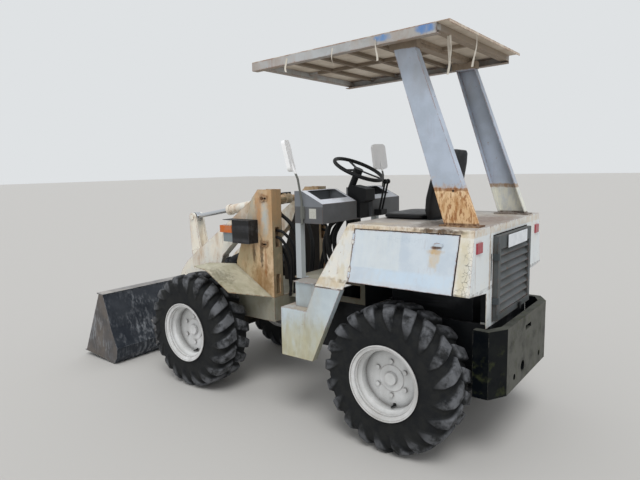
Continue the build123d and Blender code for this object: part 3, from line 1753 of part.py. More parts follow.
# Rear frame
write("rear_chassis", make_rear_chassis())
write("rear_axle", make_axle(rear_axle_x, chassis_axle_z, chassis_half_width))
write("engine_block", make_engine_block())
hinge_top, hinge_low = door_hinge_points()
cover = make_cover()
door_knuckles, cover_knuckles, door_room, cover_room = hinge_set(hinge_low, hinge_top)
cover = cover - door_room - mirrored(door_room) + cover_knuckles + mirrored(cover_knuckles)
door = make_side_door() - cover_room + door_knuckles
grille_line = (
    Vector(cover_rear_x - grille_depth, grille_half_width + grille_gap / 2, grille_bottom_z),
    Vector(cover_rear_x - grille_depth, grille_half_width + grille_gap / 2, grille_top_z),
)
grille_knuckles, tail_knuckles, grille_room, tail_room = hinge_set(*grille_line)
for low_share, high_share in fixed_shares:
    low_z = grille_bottom_z + low_share * (grille_top_z - grille_bottom_z)
    high_z = grille_bottom_z + high_share * (grille_top_z - grille_bottom_z)
    leaf_y = grille_half_width + grille_gap
    sheet = grille_leaf_sheet
    cover += block(cover_rear_x - grille_depth, cover_rear_x, leaf_y, leaf_y + sheet, low_z, high_z)
    cover += block(cover_rear_x - sheet, cover_rear_x + 1, leaf_y, leaf_y + grille_leaf_width, low_z, high_z)
write("engine_cover", cover + tail_knuckles)
write("side_door_left", door)
write("side_door_right", mirrored(door))
write("rear_grille", make_grille() - tail_room + grille_knuckles)
write("counterweight", make_counterweight())
write("reflectors", both_sides(make_reflector()))
write("side_steps", both_sides(make_step()))
write("step_box", make_step_box())
write("operator_floor", make_floor())
write("cowl", make_cowl())
column_upper, column_pedestal = make_column_parts()
write("steering_column", Compound(children=[column_upper, column_pedestal]))
write("steering_wheel", make_steering_wheel())
write("control_levers", make_levers())
seat_base, seat_cushion, seat_back = make_seat()
write("seat_base", seat_base)
write("seat_cushion", seat_cushion)
write("seat_back", seat_back)
write("mirrors", both_sides(make_mirror()))
write("canopy_posts", both_sides(make_canopy_post()))
write("canopy_frame", make_canopy_frame())
write("canopy_roof", make_canopy_roof())

# Front frame
write("front_frame", make_front_frame())
write("pivot_pin", make_pivot_pin())
write("front_axle", make_axle(front_axle_x, front_box_bottom_z, front_box_half_width))
write("loader_tower", make_tower())
write("front_fenders", both_sides(make_fender()))
write("headlamp_boxes", both_sides(make_headlamp_box()))
write("headlamps", both_sides(make_headlamp()))
write("turn_signals", both_sides(make_signal()))

# Loader linkage
write("boom", make_boom())
write("bellcrank", make_bellcrank())
write("bucket_link", make_link())
write("bucket", make_bucket())
arm_y = (arm_inner_y + arm_outer_y) / 2
lift_barrel, lift_rod = cylinder_pair(
    (lift_base_x, lift_base_z),
    (lift_eye_x, lift_eye_z),
    arm_y,
    lift_barrel_radius,
    lift_rod_radius,
    lift_barrel_length,
    lift_eye_width,
    lift_pin_radius,
    lift_rod_room,
)
write("lift_barrels", both_sides(lift_barrel))
write("lift_rods", both_sides(lift_rod))
tilt_length = tilt_gland_x - tilt_base_x
tilt_barrel, tilt_rod = cylinder_pair(
    (tilt_base_x, tilt_base_z),
    (bell_top_x, bell_top_z),
    0,
    tilt_barrel_radius,
    tilt_rod_radius,
    tilt_length,
    2 * bell_half_gap - 2 * ear_gap,
    boom_pin_radius,
    tilt_rod_room,
)
write("tilt_barrel", tilt_barrel)
write("tilt_rod", tilt_rod)
steer_length = hypot(steer_eye_x - steer_base_x, steer_eye_y - steer_base_y)
steer_turn = degrees(atan2(steer_eye_y - steer_base_y, steer_eye_x - steer_base_x))
for label, side in (("left", 1), ("right", -1)):
    barrel, piston = cylinder_pair(
        (0, 0),
        (steer_length, 0),
        0,
        steer_barrel_radius,
        steer_rod_radius,
        steer_barrel_length,
        2 * steer_barrel_radius,
        steer_rod_radius,
        steer_rod_room,
    )
    place = Pos(steer_base_x, side * steer_base_y, steer_z) * Rot(0, 0, side * steer_turn) * Rot(90, 0, 0)
    write(f"steer_barrel_{label}", place * barrel)
    write(f"steer_rod_{label}", place * piston)
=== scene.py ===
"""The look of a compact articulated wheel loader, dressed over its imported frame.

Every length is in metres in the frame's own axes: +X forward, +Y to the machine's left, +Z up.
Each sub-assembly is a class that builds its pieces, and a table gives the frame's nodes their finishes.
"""

import json
import logging
import math
from dataclasses import dataclass, field
from enum import Enum
from typing import Any

import bmesh
import bpy
import numpy as np
from mathutils import Matrix, Vector

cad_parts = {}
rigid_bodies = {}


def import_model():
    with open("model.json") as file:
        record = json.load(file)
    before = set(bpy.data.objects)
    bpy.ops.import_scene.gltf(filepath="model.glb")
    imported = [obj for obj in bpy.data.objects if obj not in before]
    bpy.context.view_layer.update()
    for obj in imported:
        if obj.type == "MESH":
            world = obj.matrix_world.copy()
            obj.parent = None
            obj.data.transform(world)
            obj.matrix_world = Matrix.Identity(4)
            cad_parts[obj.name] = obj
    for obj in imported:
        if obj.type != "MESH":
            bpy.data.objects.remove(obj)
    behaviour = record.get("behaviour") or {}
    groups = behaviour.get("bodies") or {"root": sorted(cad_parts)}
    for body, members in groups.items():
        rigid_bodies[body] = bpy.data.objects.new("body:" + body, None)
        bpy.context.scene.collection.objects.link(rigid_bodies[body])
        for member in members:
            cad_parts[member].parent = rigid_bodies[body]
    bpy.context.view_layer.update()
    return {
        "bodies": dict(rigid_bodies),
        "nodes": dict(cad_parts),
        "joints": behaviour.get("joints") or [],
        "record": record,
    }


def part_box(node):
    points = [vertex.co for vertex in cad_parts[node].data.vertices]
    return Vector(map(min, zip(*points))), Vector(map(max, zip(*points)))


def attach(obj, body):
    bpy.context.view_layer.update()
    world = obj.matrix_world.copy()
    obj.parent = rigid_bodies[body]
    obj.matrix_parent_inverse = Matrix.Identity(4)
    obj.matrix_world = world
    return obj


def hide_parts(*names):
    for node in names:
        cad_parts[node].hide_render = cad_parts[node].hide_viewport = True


LOG = logging.getLogger("loader")
TAU = 2 * math.pi
SIDES = (("left", 1), ("right", -1))
Array = np.ndarray
Triple = tuple[float, float, float]
Material, Socket = bpy.types.Material, bpy.types.NodeSocket
# The octaves and roughness of the patches' noise, and the scale and octaves of the one that frays a spot's edge
NOISE_DETAIL, NOISE_ROUGHNESS = 5.0, 0.62
RAGGED_SCALE, RAGGED_DETAIL = 34.0, 8.0


class Pattern(Enum):
    """How a mask of patches is stretched over a surface."""

    EVEN = (1.0, 1.0, 1.0)
    HANGING = (1.0, 1.0, 0.35)
    STREAK = (1.0, 1.0, 0.09)
    BRUSHED = (0.1, 1.0, 1.0)


def linear(colour: str) -> tuple[float, ...]:
    """Turns an sRGB hex colour into linear light.

    Args:
        colour: "#rrggbb".

    Returns:
        Linear red, green and blue, and an alpha of 1.
    """
    channels = np.array([int(colour[i : i + 2], 16) for i in (1, 3, 5)]) / 255.0
    straight = np.where(channels <= 0.04045, channels / 12.92, ((channels + 0.055) / 1.055) ** 2.4)
    return (*straight.tolist(), 1.0)


def add_node(tree: bpy.types.NodeTree, kind: str, inputs: dict[Any, Any] | None = None, **settings: Any) -> Any:
    """Adds one shader node with its settings, input values and links.

    Args:
        tree: The node tree it goes into.
        kind: The node's type name, without the ShaderNode that all of them start with.
        inputs: Socket name or index to a value, or to the socket that is linked to it.
        settings: The node's own properties.

    Returns:
        The new node's outputs.
    """
    made = tree.nodes.new("ShaderNode" + kind)
    for name, value in settings.items():
        setattr(made, name, value)
    for key, value in (inputs or {}).items():
        if isinstance(value, Socket):
            tree.links.new(value, made.inputs[key])
        else:
            made.inputs[key].default_value = value
    return made.outputs


class Shade:
    """A material under construction, built up in layers of colour, roughness and height."""

    def __init__(self, name: str, colour: str, roughness: float) -> None:
        """Starts with an even coat.

        Args:
            name: The material's name.
            colour: The coat's sRGB hex colour.
            roughness: The coat's roughness.
        """
        self.material = bpy.data.materials.new(name)
        self.material.use_nodes = True
        self.tree = self.material.node_tree
        self.tree.nodes.clear()
        position = self.add("TexCoord")
        self.place = position["Object"]
        self.normal = position["Normal"]
        self.colour: Any = linear(colour)
        self.roughness: Any = roughness
        self.height: Any = None

    def add(self, kind: str, inputs: dict[Any, Any] | None = None, **settings: Any) -> Any:
        """Adds a node to this material, as add_node does, and returns its outputs."""
        return add_node(self.tree, kind, inputs, **settings)

    def patches(
        self, size_mm: float, level: float, soft: float = 0.05, pattern: Pattern = Pattern.EVEN, shift: float = 0.0
    ) -> Socket:
        """A mask of irregular patches: fractal noise, kept where it rises above a level.

        Args:
            size_mm: The patches' size.
            level: The noise's cut, about 0.5 for half the surface and 0.65 for a few spots.
            soft: Half the width of the patches' edge, in noise.
            pattern: How the patches are stretched.
            shift: Moves the pattern, so that two masks differ.

        Returns:
            The mask's socket, from 0 to 1.
        """
        moved = self.add("Mapping", {"Vector": self.place, "Location": (shift,) * 3, "Scale": pattern.value})[0]
        inputs = {"Vector": moved, "Scale": 1000.0 / size_mm, "Detail": NOISE_DETAIL, "Roughness": NOISE_ROUGHNESS}
        noise = self.add("TexNoise", inputs)
        return self.ramp(noise["Fac"], level - soft, level + soft)

    def ramp(self, value: Socket, low: float, high: float) -> Socket:
        """A smooth step from 0 at low to 1 at high, or down where high is the smaller."""
        inputs = {"Value": value, "From Min": low, "From Max": high}
        return self.add("MapRange", inputs, interpolation_type="SMOOTHSTEP")[0]

    def along(self, axis: str, start: float, end: float) -> Socket:
        """A mask that rises from 0 at start to 1 at end along X, Y or Z, in metres."""
        parts = self.add("SeparateXYZ", {0: self.place})
        return self.ramp(parts[axis], start, end)

    def facing(self, direction: Triple, least: float = 0.88) -> Socket:
        """A mask of the faces whose own normal turns towards a direction.

        Args:
            direction: The direction, one metre long.
            least: The dot product of the two at the middle of the mask's edge.

        Returns:
            The mask's socket.
        """
        inputs = {0: self.normal, 1: direction}
        turned = self.add("VectorMath", inputs, operation="DOT_PRODUCT")
        return self.ramp(turned["Value"], least - 0.1, least + 0.1)

    def spot(
        self, centre: Triple, reach: Triple, ragged: float = 0.5, square: bool = False, blur: float = 0.4
    ) -> Socket:
        """A mask of one ragged spot: the distance from its centre in units of its reach, with noise on it.

        Args:
            centre: Its middle, in metres.
            reach: Its half sizes, in metres.
            ragged: How far noise moves its edge, in units of its reach.
            square: Measures the distance along the farthest axis, which makes a box.
            blur: Half the width of its edge, in units of its reach.

        Returns:
            The mask's socket.
        """
        middle, half = np.array(centre), np.array(reach)
        inputs = {"Vector": self.place, "Location": tuple(-middle / half), "Scale": tuple(1 / half)}
        scaled = self.add("Mapping", inputs)[0]
        if square:
            sizes = self.add("VectorMath", {0: scaled}, operation="ABSOLUTE")[0]
            parts = self.add("SeparateXYZ", {0: sizes})
            distance = parts[0]
            for part in (parts[1], parts[2]):
                inputs = {0: distance, 1: part}
                distance = self.add("Math", inputs, operation="MAXIMUM")[0]
        else:
            distance = self.add("VectorMath", {0: scaled}, operation="LENGTH")["Value"]
        inputs = {"Vector": self.place, "Scale": RAGGED_SCALE, "Detail": RAGGED_DETAIL}
        noise = self.add("TexNoise", inputs)["Fac"]
        inputs = {0: noise, 1: 2 * ragged, 2: distance}
        spread = self.add("Math", inputs, operation="MULTIPLY_ADD")[0]
        return self.ramp(spread, 1.0 + ragged + blur, 1.0 + ragged - blur)

    def crackle(self, size_mm: float, width: float = 0.06) -> Socket:
        """A mask of fine meandering lines: the borders between Voronoi cells, bent by noise as broad as they are.

        Args:
            size_mm: The cells' size.
            width: How wide the lines are, as a share of a cell.

        Returns:
            The mask's socket.
        """
        bend = self.add("TexNoise", {"Vector": self.place, "Scale": 700.0 / size_mm})
        moved = {0: bend["Color"], 1: (size_mm / 900,) * 3, 2: self.place}
        place = self.add("VectorMath", moved, operation="MULTIPLY_ADD")[0]
        inputs = {"Vector": place, "Scale": 1000.0 / size_mm}
        cells = self.add("TexVoronoi", inputs, feature="DISTANCE_TO_EDGE")
        return self.ramp(cells["Distance"], width, 0.0)

    def edges(self, radius_mm: float = 9.0) -> Socket:
        """A mask of the solid's edges: where the normal turns when it is rounded off, it differs from itself.

        Args:
            radius_mm: How far from an edge it reaches.

        Returns:
            The mask's socket.
        """
        rounded = self.add("Bevel", {"Radius": radius_mm / 1000}, samples=4)
        straight = self.add("NewGeometry")
        inputs = {0: rounded[0], 1: straight["Normal"]}
        return self.ramp(self.add("VectorMath", inputs, operation="DOT_PRODUCT")["Value"], 0.995, 0.9)

    def recesses(self, reach_mm: float) -> Socket:
        """A mask of corners and hollows, where the surroundings within reach hide much of the sky."""
        hidden = self.add("AmbientOcclusion", {"Distance": reach_mm / 1000}, samples=6)
        return self.ramp(hidden["AO"], 0.85, 0.4)

    def inner_sides(self) -> Socket:
        """A mask of the faces that look at the machine's centre plane: their normal's y opposes their place's."""
        ways = (self.normal, self.place)
        parts = [self.add("SeparateXYZ", {0: way})[1] for way in ways]
        return self.ramp(self.times(*parts), -0.02, -0.1)

    def times(self, first: Any, second: Any) -> Socket:
        """The share that two masks have in common, or a mask thinned to a share of itself."""
        return self.add("Math", {0: first, 1: second}, operation="MULTIPLY")[0]

    def coat(
        self, mask: Socket, colour: str, roughness: float | None = None, strength: float = 1.0
    ) -> None:
        """Lays a colour, and with it a roughness, over what is there.

        Args:
            mask: Where it lies.
            colour: Its sRGB hex colour.
            roughness: Its roughness, or None to keep what is there.
            strength: How far it covers where the mask is 1.
        """
        if strength != 1.0:
            mask = self.times(mask, strength)
        inputs = {0: mask, 6: self.colour, 7: linear(colour)}
        self.colour = self.add("Mix", inputs, data_type="RGBA")[2]
        if roughness is not None:
            inputs = {0: mask, 2: self.roughness, 3: roughness}
            self.roughness = self.add("Mix", inputs)[0]

    def raise_by(self, mask: Socket, depth_mm: float) -> None:
        """Adds a height of the mask's shape, up to depth_mm, which may be negative."""
        inputs = {0: mask, 1: depth_mm / 1000, 2: 0.0 if self.height is None else self.height}
        self.height = self.add("Math", inputs, operation="MULTIPLY_ADD")[0]

    def done(self, **sockets: Any) -> Material:
        """Connects the layers to the shader.

        Args:
            sockets: The shader's other inputs, with an underscore for each space.

        Returns:
            The material.
        """
        inputs = {key.replace("_", " "): value for key, value in sockets.items()}
        inputs.update({"Base Color": self.colour, "Roughness": self.roughness})
        if self.height is not None:
            bump = self.add("Bump", {"Height": self.height, "Distance": 1.0})
            inputs["Normal"] = bump[0]
        shader = self.add("BsdfPrincipled", inputs)
        self.add("OutputMaterial", {"Surface": shader[0]})
        return self.material


@dataclass(frozen=True)
class Patch:
    """One place on a coat that has another colour: rust, bare steel, or paint that has changed.

    Centre and reach are its middle and half sizes in metres, and ragged, square and blur are Shade.spot's.
    With crackle_mm it shows only along fine lines, and with speck_mm only in specks, of that size.
    """

    centre: Triple
    reach: Triple
    colour: str
    strength: float = 0.9
    ragged: float = 0.5
    square: bool = False
    crackle_mm: float = 0.0
    blur: float = 0.4
    speck_mm: float = 0.0

    def lay(self, shade: Shade) -> None:
        """Lays the patch over a coat: as crackled lines, as specks, or mottled where its edge is ragged."""
        mask = shade.spot(self.centre, self.reach, self.ragged, self.square, self.blur)
        if self.crackle_mm:
            lines = shade.times(shade.crackle(self.crackle_mm), shade.patches(45.0, 0.45, 0.12, shift=17.0))
            mask = shade.times(mask, lines)
        elif self.speck_mm:
            mask = shade.times(mask, shade.patches(self.speck_mm, 0.55, 0.05, Pattern.HANGING, 13.0))
        elif self.ragged:
            mottling = shade.ramp(shade.patches(26.0, 0.48, 0.2, Pattern.HANGING, 13.0), -1.0, 1.0)
            mask = shade.times(mask, mottling)
        shade.coat(mask, self.colour, 0.8, self.strength)


@dataclass(frozen=True)
class Face:
    """The colour of the faces that look one way, where weather has changed the coat."""

    direction: Triple
    colour: str
    strength: float = 0.9
    least: float = 0.88

    def lay(self, shade: Shade) -> None:
        """Lays the colour over a coat, with cloudy gaps."""
        clouds = shade.ramp(shade.patches(120.0, 0.5, 0.2, shift=11.0), -0.8, 0.6)
        mask = shade.times(shade.facing(self.direction, self.least), clouds)
        shade.coat(mask, self.colour, strength=self.strength)


@dataclass(frozen=True)
class WeatheredPaint:
    """Machine enamel on sheet steel, sprayed and left outdoors: chalky, stained and run with rust.

    Each layer has its colour, its patches' size in millimetres, the noise level where they start, and a
    strength, which is how far it covers. Grime rises from the first of grime_heights down to the second.
    """

    name: str
    colour: str
    faded: str
    roughness: float = 0.55
    fade_mm: float = 160.0
    faces: tuple[Face, ...] = ()
    inside: str = ""
    # Painted shade with grime in corners and hollows: its colour and strength
    recess_shade_and_grime: str = "#5f5a50"
    recess_shade_and_grime_strength: float = 0.35
    rust: str = "#8a4f26"
    stain: str = "#b98a55"
    stain_mm: float = 260.0
    stain_level: float = 0.58
    stain_strength: float = 0.4
    run_strength: float = 0.3
    speck_level: float = 0.7
    edge_rust: float = 0.75
    grime: str = "#5d564a"
    grime_strength: float = 0.45
    grime_heights: tuple[float, float] = (1.0, 0.4)
    patches: tuple[Patch, ...] = ()

    def material(self) -> Material:
        """Builds the coat: fading, its faces, grime, stains, runs, specks, painted shade with grime in recesses, and
        edges, then its own patches.
        """
        shade = Shade(self.name, self.colour, self.roughness)
        shade.coat(shade.patches(self.fade_mm, 0.5, 0.14), self.faded)
        for face in self.faces:
            face.lay(shade)
        low = shade.along("Z", *self.grime_heights)
        dirt = shade.times(shade.patches(110.0, 0.52, 0.15, Pattern.HANGING, 3.0), low)
        shade.coat(dirt, self.grime, 0.85, self.grime_strength)
        broad = shade.patches(self.stain_mm, self.stain_level, 0.12, Pattern.HANGING, 1.0)
        shade.coat(broad, self.stain, 0.75, self.stain_strength)
        runs = shade.times(shade.patches(24.0, 0.6, 0.08, Pattern.STREAK), shade.patches(170.0, 0.55, 0.1, shift=6.0))
        shade.coat(runs, self.rust, 0.8, self.run_strength)
        specks = shade.patches(20.0, self.speck_level, 0.02, shift=7.0)
        shade.coat(specks, self.rust, 0.9)
        # Painted shade, with grime: corners and hollows darkened where the surroundings hide the sky
        shade.coat(shade.recesses(70.0), self.recess_shade_and_grime, 0.85, self.recess_shade_and_grime_strength)
        worn = shade.times(shade.edges(), shade.patches(38.0, 0.47, 0.1, shift=5.0))
        shade.coat(worn, self.rust, 0.9, self.edge_rust)
        for patch in self.patches:
            patch.lay(shade)
        if self.inside:
            shade.coat(shade.inner_sides(), self.inside, 0.85)
        shade.raise_by(specks, -0.25)
        # Orange peel of sprayed enamel is 1 to 2 mm across: drawn at 6 mm so that it shows
        shade.raise_by(shade.patches(6.0, 0.5, 0.3, shift=2.0), 0.05)
        return shade.done()


@dataclass(frozen=True)
class ScuffedBlack:
    """Black chassis paint over hot-rolled steel: scuffed to grey on its edges and dusty on its faces."""

    name: str
    colour: str = "#12171c"
    scuff: str = "#55565a"
    dust: str = "#3b3a38"
    dust_strength: float = 0.45
    dust_mm: float = 160.0
    faces: tuple[Face, ...] = ()
    roughness: float = 0.5
    scuff_mm: float = 70.0
    scuff_pattern: Pattern = Pattern.BRUSHED

    def material(self) -> Material:
        """Builds the coat with dust clouds, a few soft scuffs and worn edges."""
        shade = Shade(self.name, self.colour, self.roughness)
        for face in self.faces:
            face.lay(shade)
        shade.coat(shade.patches(self.dust_mm, 0.5, 0.18), self.dust, 0.9, self.dust_strength)
        fine = shade.patches(self.scuff_mm, 0.55, 0.12, self.scuff_pattern)
        scuffs = shade.times(fine, shade.patches(300.0, 0.5, 0.1, shift=8.0))
        shade.coat(scuffs, self.scuff, 0.6, 0.55)
        worn = shade.times(shade.edges(7.0), shade.patches(30.0, 0.5, 0.12, shift=4.0))
        shade.coat(worn, self.scuff, 0.5, 0.8)
        shade.raise_by(shade.patches(9.0, 0.5, 0.3), 0.12)
        return shade.done(Specular_IOR_Level=0.3)


@dataclass(frozen=True)
class SandCastIron:
    """Grey iron cast in sand and painted black: grainy, oily and caked with road dirt."""

    name: str
    colour: str = "#23221f"
    dirt: str = "#4c463d"
    dirt_strength: float = 0.8
    faces: tuple[Face, ...] = ()
    moss: str = ""

    def material(self) -> Material:
        """Builds the grain, the dirt and, where there is any, the moss in a few sheltered places."""
        shade = Shade(self.name, self.colour, 0.7)
        for face in self.faces:
            face.lay(shade)
        shade.coat(shade.patches(90.0, 0.55, 0.12), self.dirt, 0.9, self.dirt_strength)
        if self.moss:
            shade.coat(shade.patches(70.0, 0.62, 0.08, shift=9.0), self.moss, 0.9, 0.35)
        shade.coat(shade.times(shade.edges(5.0), shade.patches(40.0, 0.55, 0.1)), "#5c5a54", 0.7)
        # Casting grain is about 1 mm: drawn at 4 mm so that it shows
        shade.raise_by(shade.patches(4.0, 0.5, 0.3), 0.3)
        return shade.done(Specular_IOR_Level=0.04)


@dataclass(frozen=True)
class Steel:
    """Bare steel: ground and hard chromed on a piston rod, or turned and left to tarnish on a pin."""

    name: str
    colour: str
    roughness: float
    tarnish: str = "#6b4b33"
    tarnish_level: float = 0.66

    def material(self) -> Material:
        """Builds the metal with a little tarnish in spots."""
        shade = Shade(self.name, self.colour, self.roughness)
        shade.coat(shade.patches(18.0, self.tarnish_level, 0.04), self.tarnish, 0.7)
        return shade.done(Metallic=1.0)


@dataclass(frozen=True)
class DustyRubber:
    """Vulcanised tyre rubber: matt black, its lug faces scuffed grey and the hollows holding dust."""

    name: str = "vulcanised_tyre_rubber"
    colour: str = "#0d1014"
    scuffed: str = "#707276"
    dust: str = "#33332f"

    def material(self) -> Material:
        """Builds the rubber from the tyre's own "lug" attribute, 1 on the lugs' faces and 0 on the carcass."""
        shade = Shade(self.name, self.colour, 0.78)
        lug = shade.add("Attribute", attribute_name="lug")["Fac"]
        shade.coat(shade.patches(55.0, 0.5, 0.18), self.dust, 0.92, 0.35)
        face = shade.times(shade.ramp(lug, 0.25, 0.9), shade.patches(60.0, 0.48, 0.16, shift=2.0))
        shade.coat(face, self.scuffed, 0.85, 0.85)
        shade.raise_by(shade.patches(5.0, 0.5, 0.3), 0.25)
        return shade.done(Specular_IOR_Level=0.35)


@dataclass(frozen=True)
class Moulded:
    """A moulded plastic or rubbery skin with its fine grain, dulled by dust."""

    name: str
    colour: str
    dust: str = "#6d675d"
    roughness: float = 0.5
    grain_mm: float = 3.0
    dust_strength: float = 0.3
    patches: tuple[Patch, ...] = ()

    def material(self) -> Material:
        """Builds the skin with its grain and dust."""
        shade = Shade(self.name, self.colour, self.roughness)
        shade.coat(shade.patches(60.0, 0.5, 0.15), self.dust, 0.85, self.dust_strength)
        for patch in self.patches:
            patch.lay(shade)
        shade.raise_by(shade.patches(self.grain_mm, 0.5, 0.3), 0.12)
        return shade.done(Specular_IOR_Level=0.35)


@dataclass(frozen=True)
class Lens:
    """A clear or coloured lamp lens, polished and with a trace of dust."""

    name: str
    colour: str
    transmission: float = 0.0
    roughness: float = 0.12

    def material(self) -> Material:
        """Builds the lens."""
        shade = Shade(self.name, self.colour, self.roughness)
        shade.coat(shade.patches(40.0, 0.55, 0.1), "#9a948a", 0.7, 0.25)
        return shade.done(Transmission_Weight=self.transmission)


def panel(centre: tuple, reach: tuple, colour: str, strength: float, blur: float = 0.01) -> Patch:
    """A patch in the form of a box, whose edges are straight and all but sharp."""
    return Patch(centre, reach, colour, strength, 0.0, square=True, blur=blur)


REAR, UP, DOWN = (-1.0, 0.0, 0.0), (0.0, 0.0, 1.0), (0.0, 0.0, -1.0)
RUST, DARK_RUST, MOULD = "#b27b3a", "#3a2a22", "#453f33"
# Every patch lies where the photograph shows it, on the machine's left side where it is seen
COVER_COATS = (
    # Chalky cream sheet, tan with rust along the deck's rim, cracked at the tail's corner, black inside
    WeatheredPaint(
        "cream_cover_enamel", "#f0ece0", "#e4e6e3", faces=(Face(REAR, "#e4eaec"), Face(UP, "#a8a29c")),
        inside="#141618", stain="#d8c39c", stain_strength=0.4, edge_rust=0.6, grime_heights=(0.9, 0.8),
        patches=(
            Patch((-1.35, 0.0, 1.302), (0.42, 0.75, 0.017), "#cdab78", 0.6, 0.5, square=True),
            Patch((-1.557, 0.58, 1.31), (0.13, 0.12, 0.012), DARK_RUST, 0.9, 0.9),
            Patch((-1.35, 0.6, 1.3), (0.42, 0.12, 0.02), "#7a5a34", 0.4, 0.3, speck_mm=11.0),
            Patch((-0.95, 0.6, 1.13), (0.14, 0.12, 0.16), "#cfc09a", 0.4, 0.5, speck_mm=60.0),
            Patch((-0.86, 0.62, 0.968), (0.14, 0.15, 0.03), "#c9ab74", 0.55, 0.9),
            Patch((-1.36, 0.0, 0.984), (0.37, 0.75, 0.0085), DARK_RUST, 0.9, 0.7, square=True),
            Patch((-1.7, 0.6, 1.12), (0.03, 0.1, 0.18), "#d9cfae", 0.7, 0.5),
            Patch((-1.722, 0.62, 1.11), (0.024, 0.09, 0.13), MOULD, 0.9, 0.4, crackle_mm=26.0),
            Patch((-1.7, 0.63, 0.995), (0.05, 0.09, 0.028), MOULD, 0.8, 0.5, crackle_mm=22.0),
            Patch((-1.745, 0.352, 1.12), (0.03, 0.012, 0.17), "#9a7a58", 0.7, 0.8),
            # Painted shade: a black slot beside the grille, and the cream hinge tabs in it darkened
            panel((-1.745, 0.329, 1.095), (0.03, 0.0065, 0.075), "#07080a", 1.0, 0.06),
            panel((-1.775, 0.32, 1.02), (0.0275, 0.04, 0.26), "#3f4548", 1.0),
            panel((-1.2575, 0.0, 0.87), (0.4825, 0.6, 0.098), "#121518", 1.0),
            Patch((-1.6, 0.1, 1.326), (0.15, 0.35, 0.012), "#7a5036", 0.5, 1.0),
            Patch((-1.44, 0.33, 1.326), (0.09, 0.22, 0.012), "#4a3a30", 0.7, 0.9),
        ),
    ),
    # Smoother and bluer than the cover, with paler panels and one rust stain under the latch
    WeatheredPaint(
        "blue_white_door_enamel", "#d9e3eb", "#ccd8e3", inside="#141618", stain="#b9a98a", stain_strength=0.15,
        run_strength=0.15, speck_level=0.74, edge_rust=0.95, grime_heights=(0.9, 0.8),
        patches=(
            Patch((-1.18, 0.6, 1.185), (0.15, 0.09, 0.105), "#e3eaeb", 0.55, 0.08, square=True, blur=0.05),
            Patch((-1.4, 0.63, 1.045), (0.235, 0.09, 0.034), "#d3e7f8", 0.7, 0.5, square=True),
            Patch((-1.535, 0.6, 1.165), (0.03, 0.05, 0.05), "#dcc49a", 0.6, 1.0),
            Patch((-1.54, 0.6, 1.203), (0.052, 0.05, 0.014), "#cfa96c", 0.7, 0.9),
            Patch((-1.54, 0.6, 1.222), (0.03, 0.05, 0.008), "#6d4526", 0.9, 0.8),
            Patch((-1.33, 0.58, 1.255), (0.17, 0.05, 0.016), "#a5b4c0", 0.5, 0.9, crackle_mm=18.0),
        ),
    ),
    # White above and yellow with grime towards the ground, its treads worn to a dull brown
    WeatheredPaint(
        "white_step_enamel", "#cfdbe0", "#c2ced4", faces=(Face(UP, "#a69b8f"),), stain="#c9b893",
        stain_strength=0.3, grime="#b5af8a", grime_strength=0.9, grime_heights=(0.78, 0.60), speck_level=0.72,
        patches=(
            Patch((-0.7, 0.6, 0.5), (0.5, 0.3, 0.15), "#c3bfa2", 0.75, 0.4, square=True, blur=0.5),
            Patch((-0.7, 0.6, 0.56), (0.5, 0.3, 0.18), "#a59e7c", 0.3, 0.4, speck_mm=60.0),
        ),
    ),
)
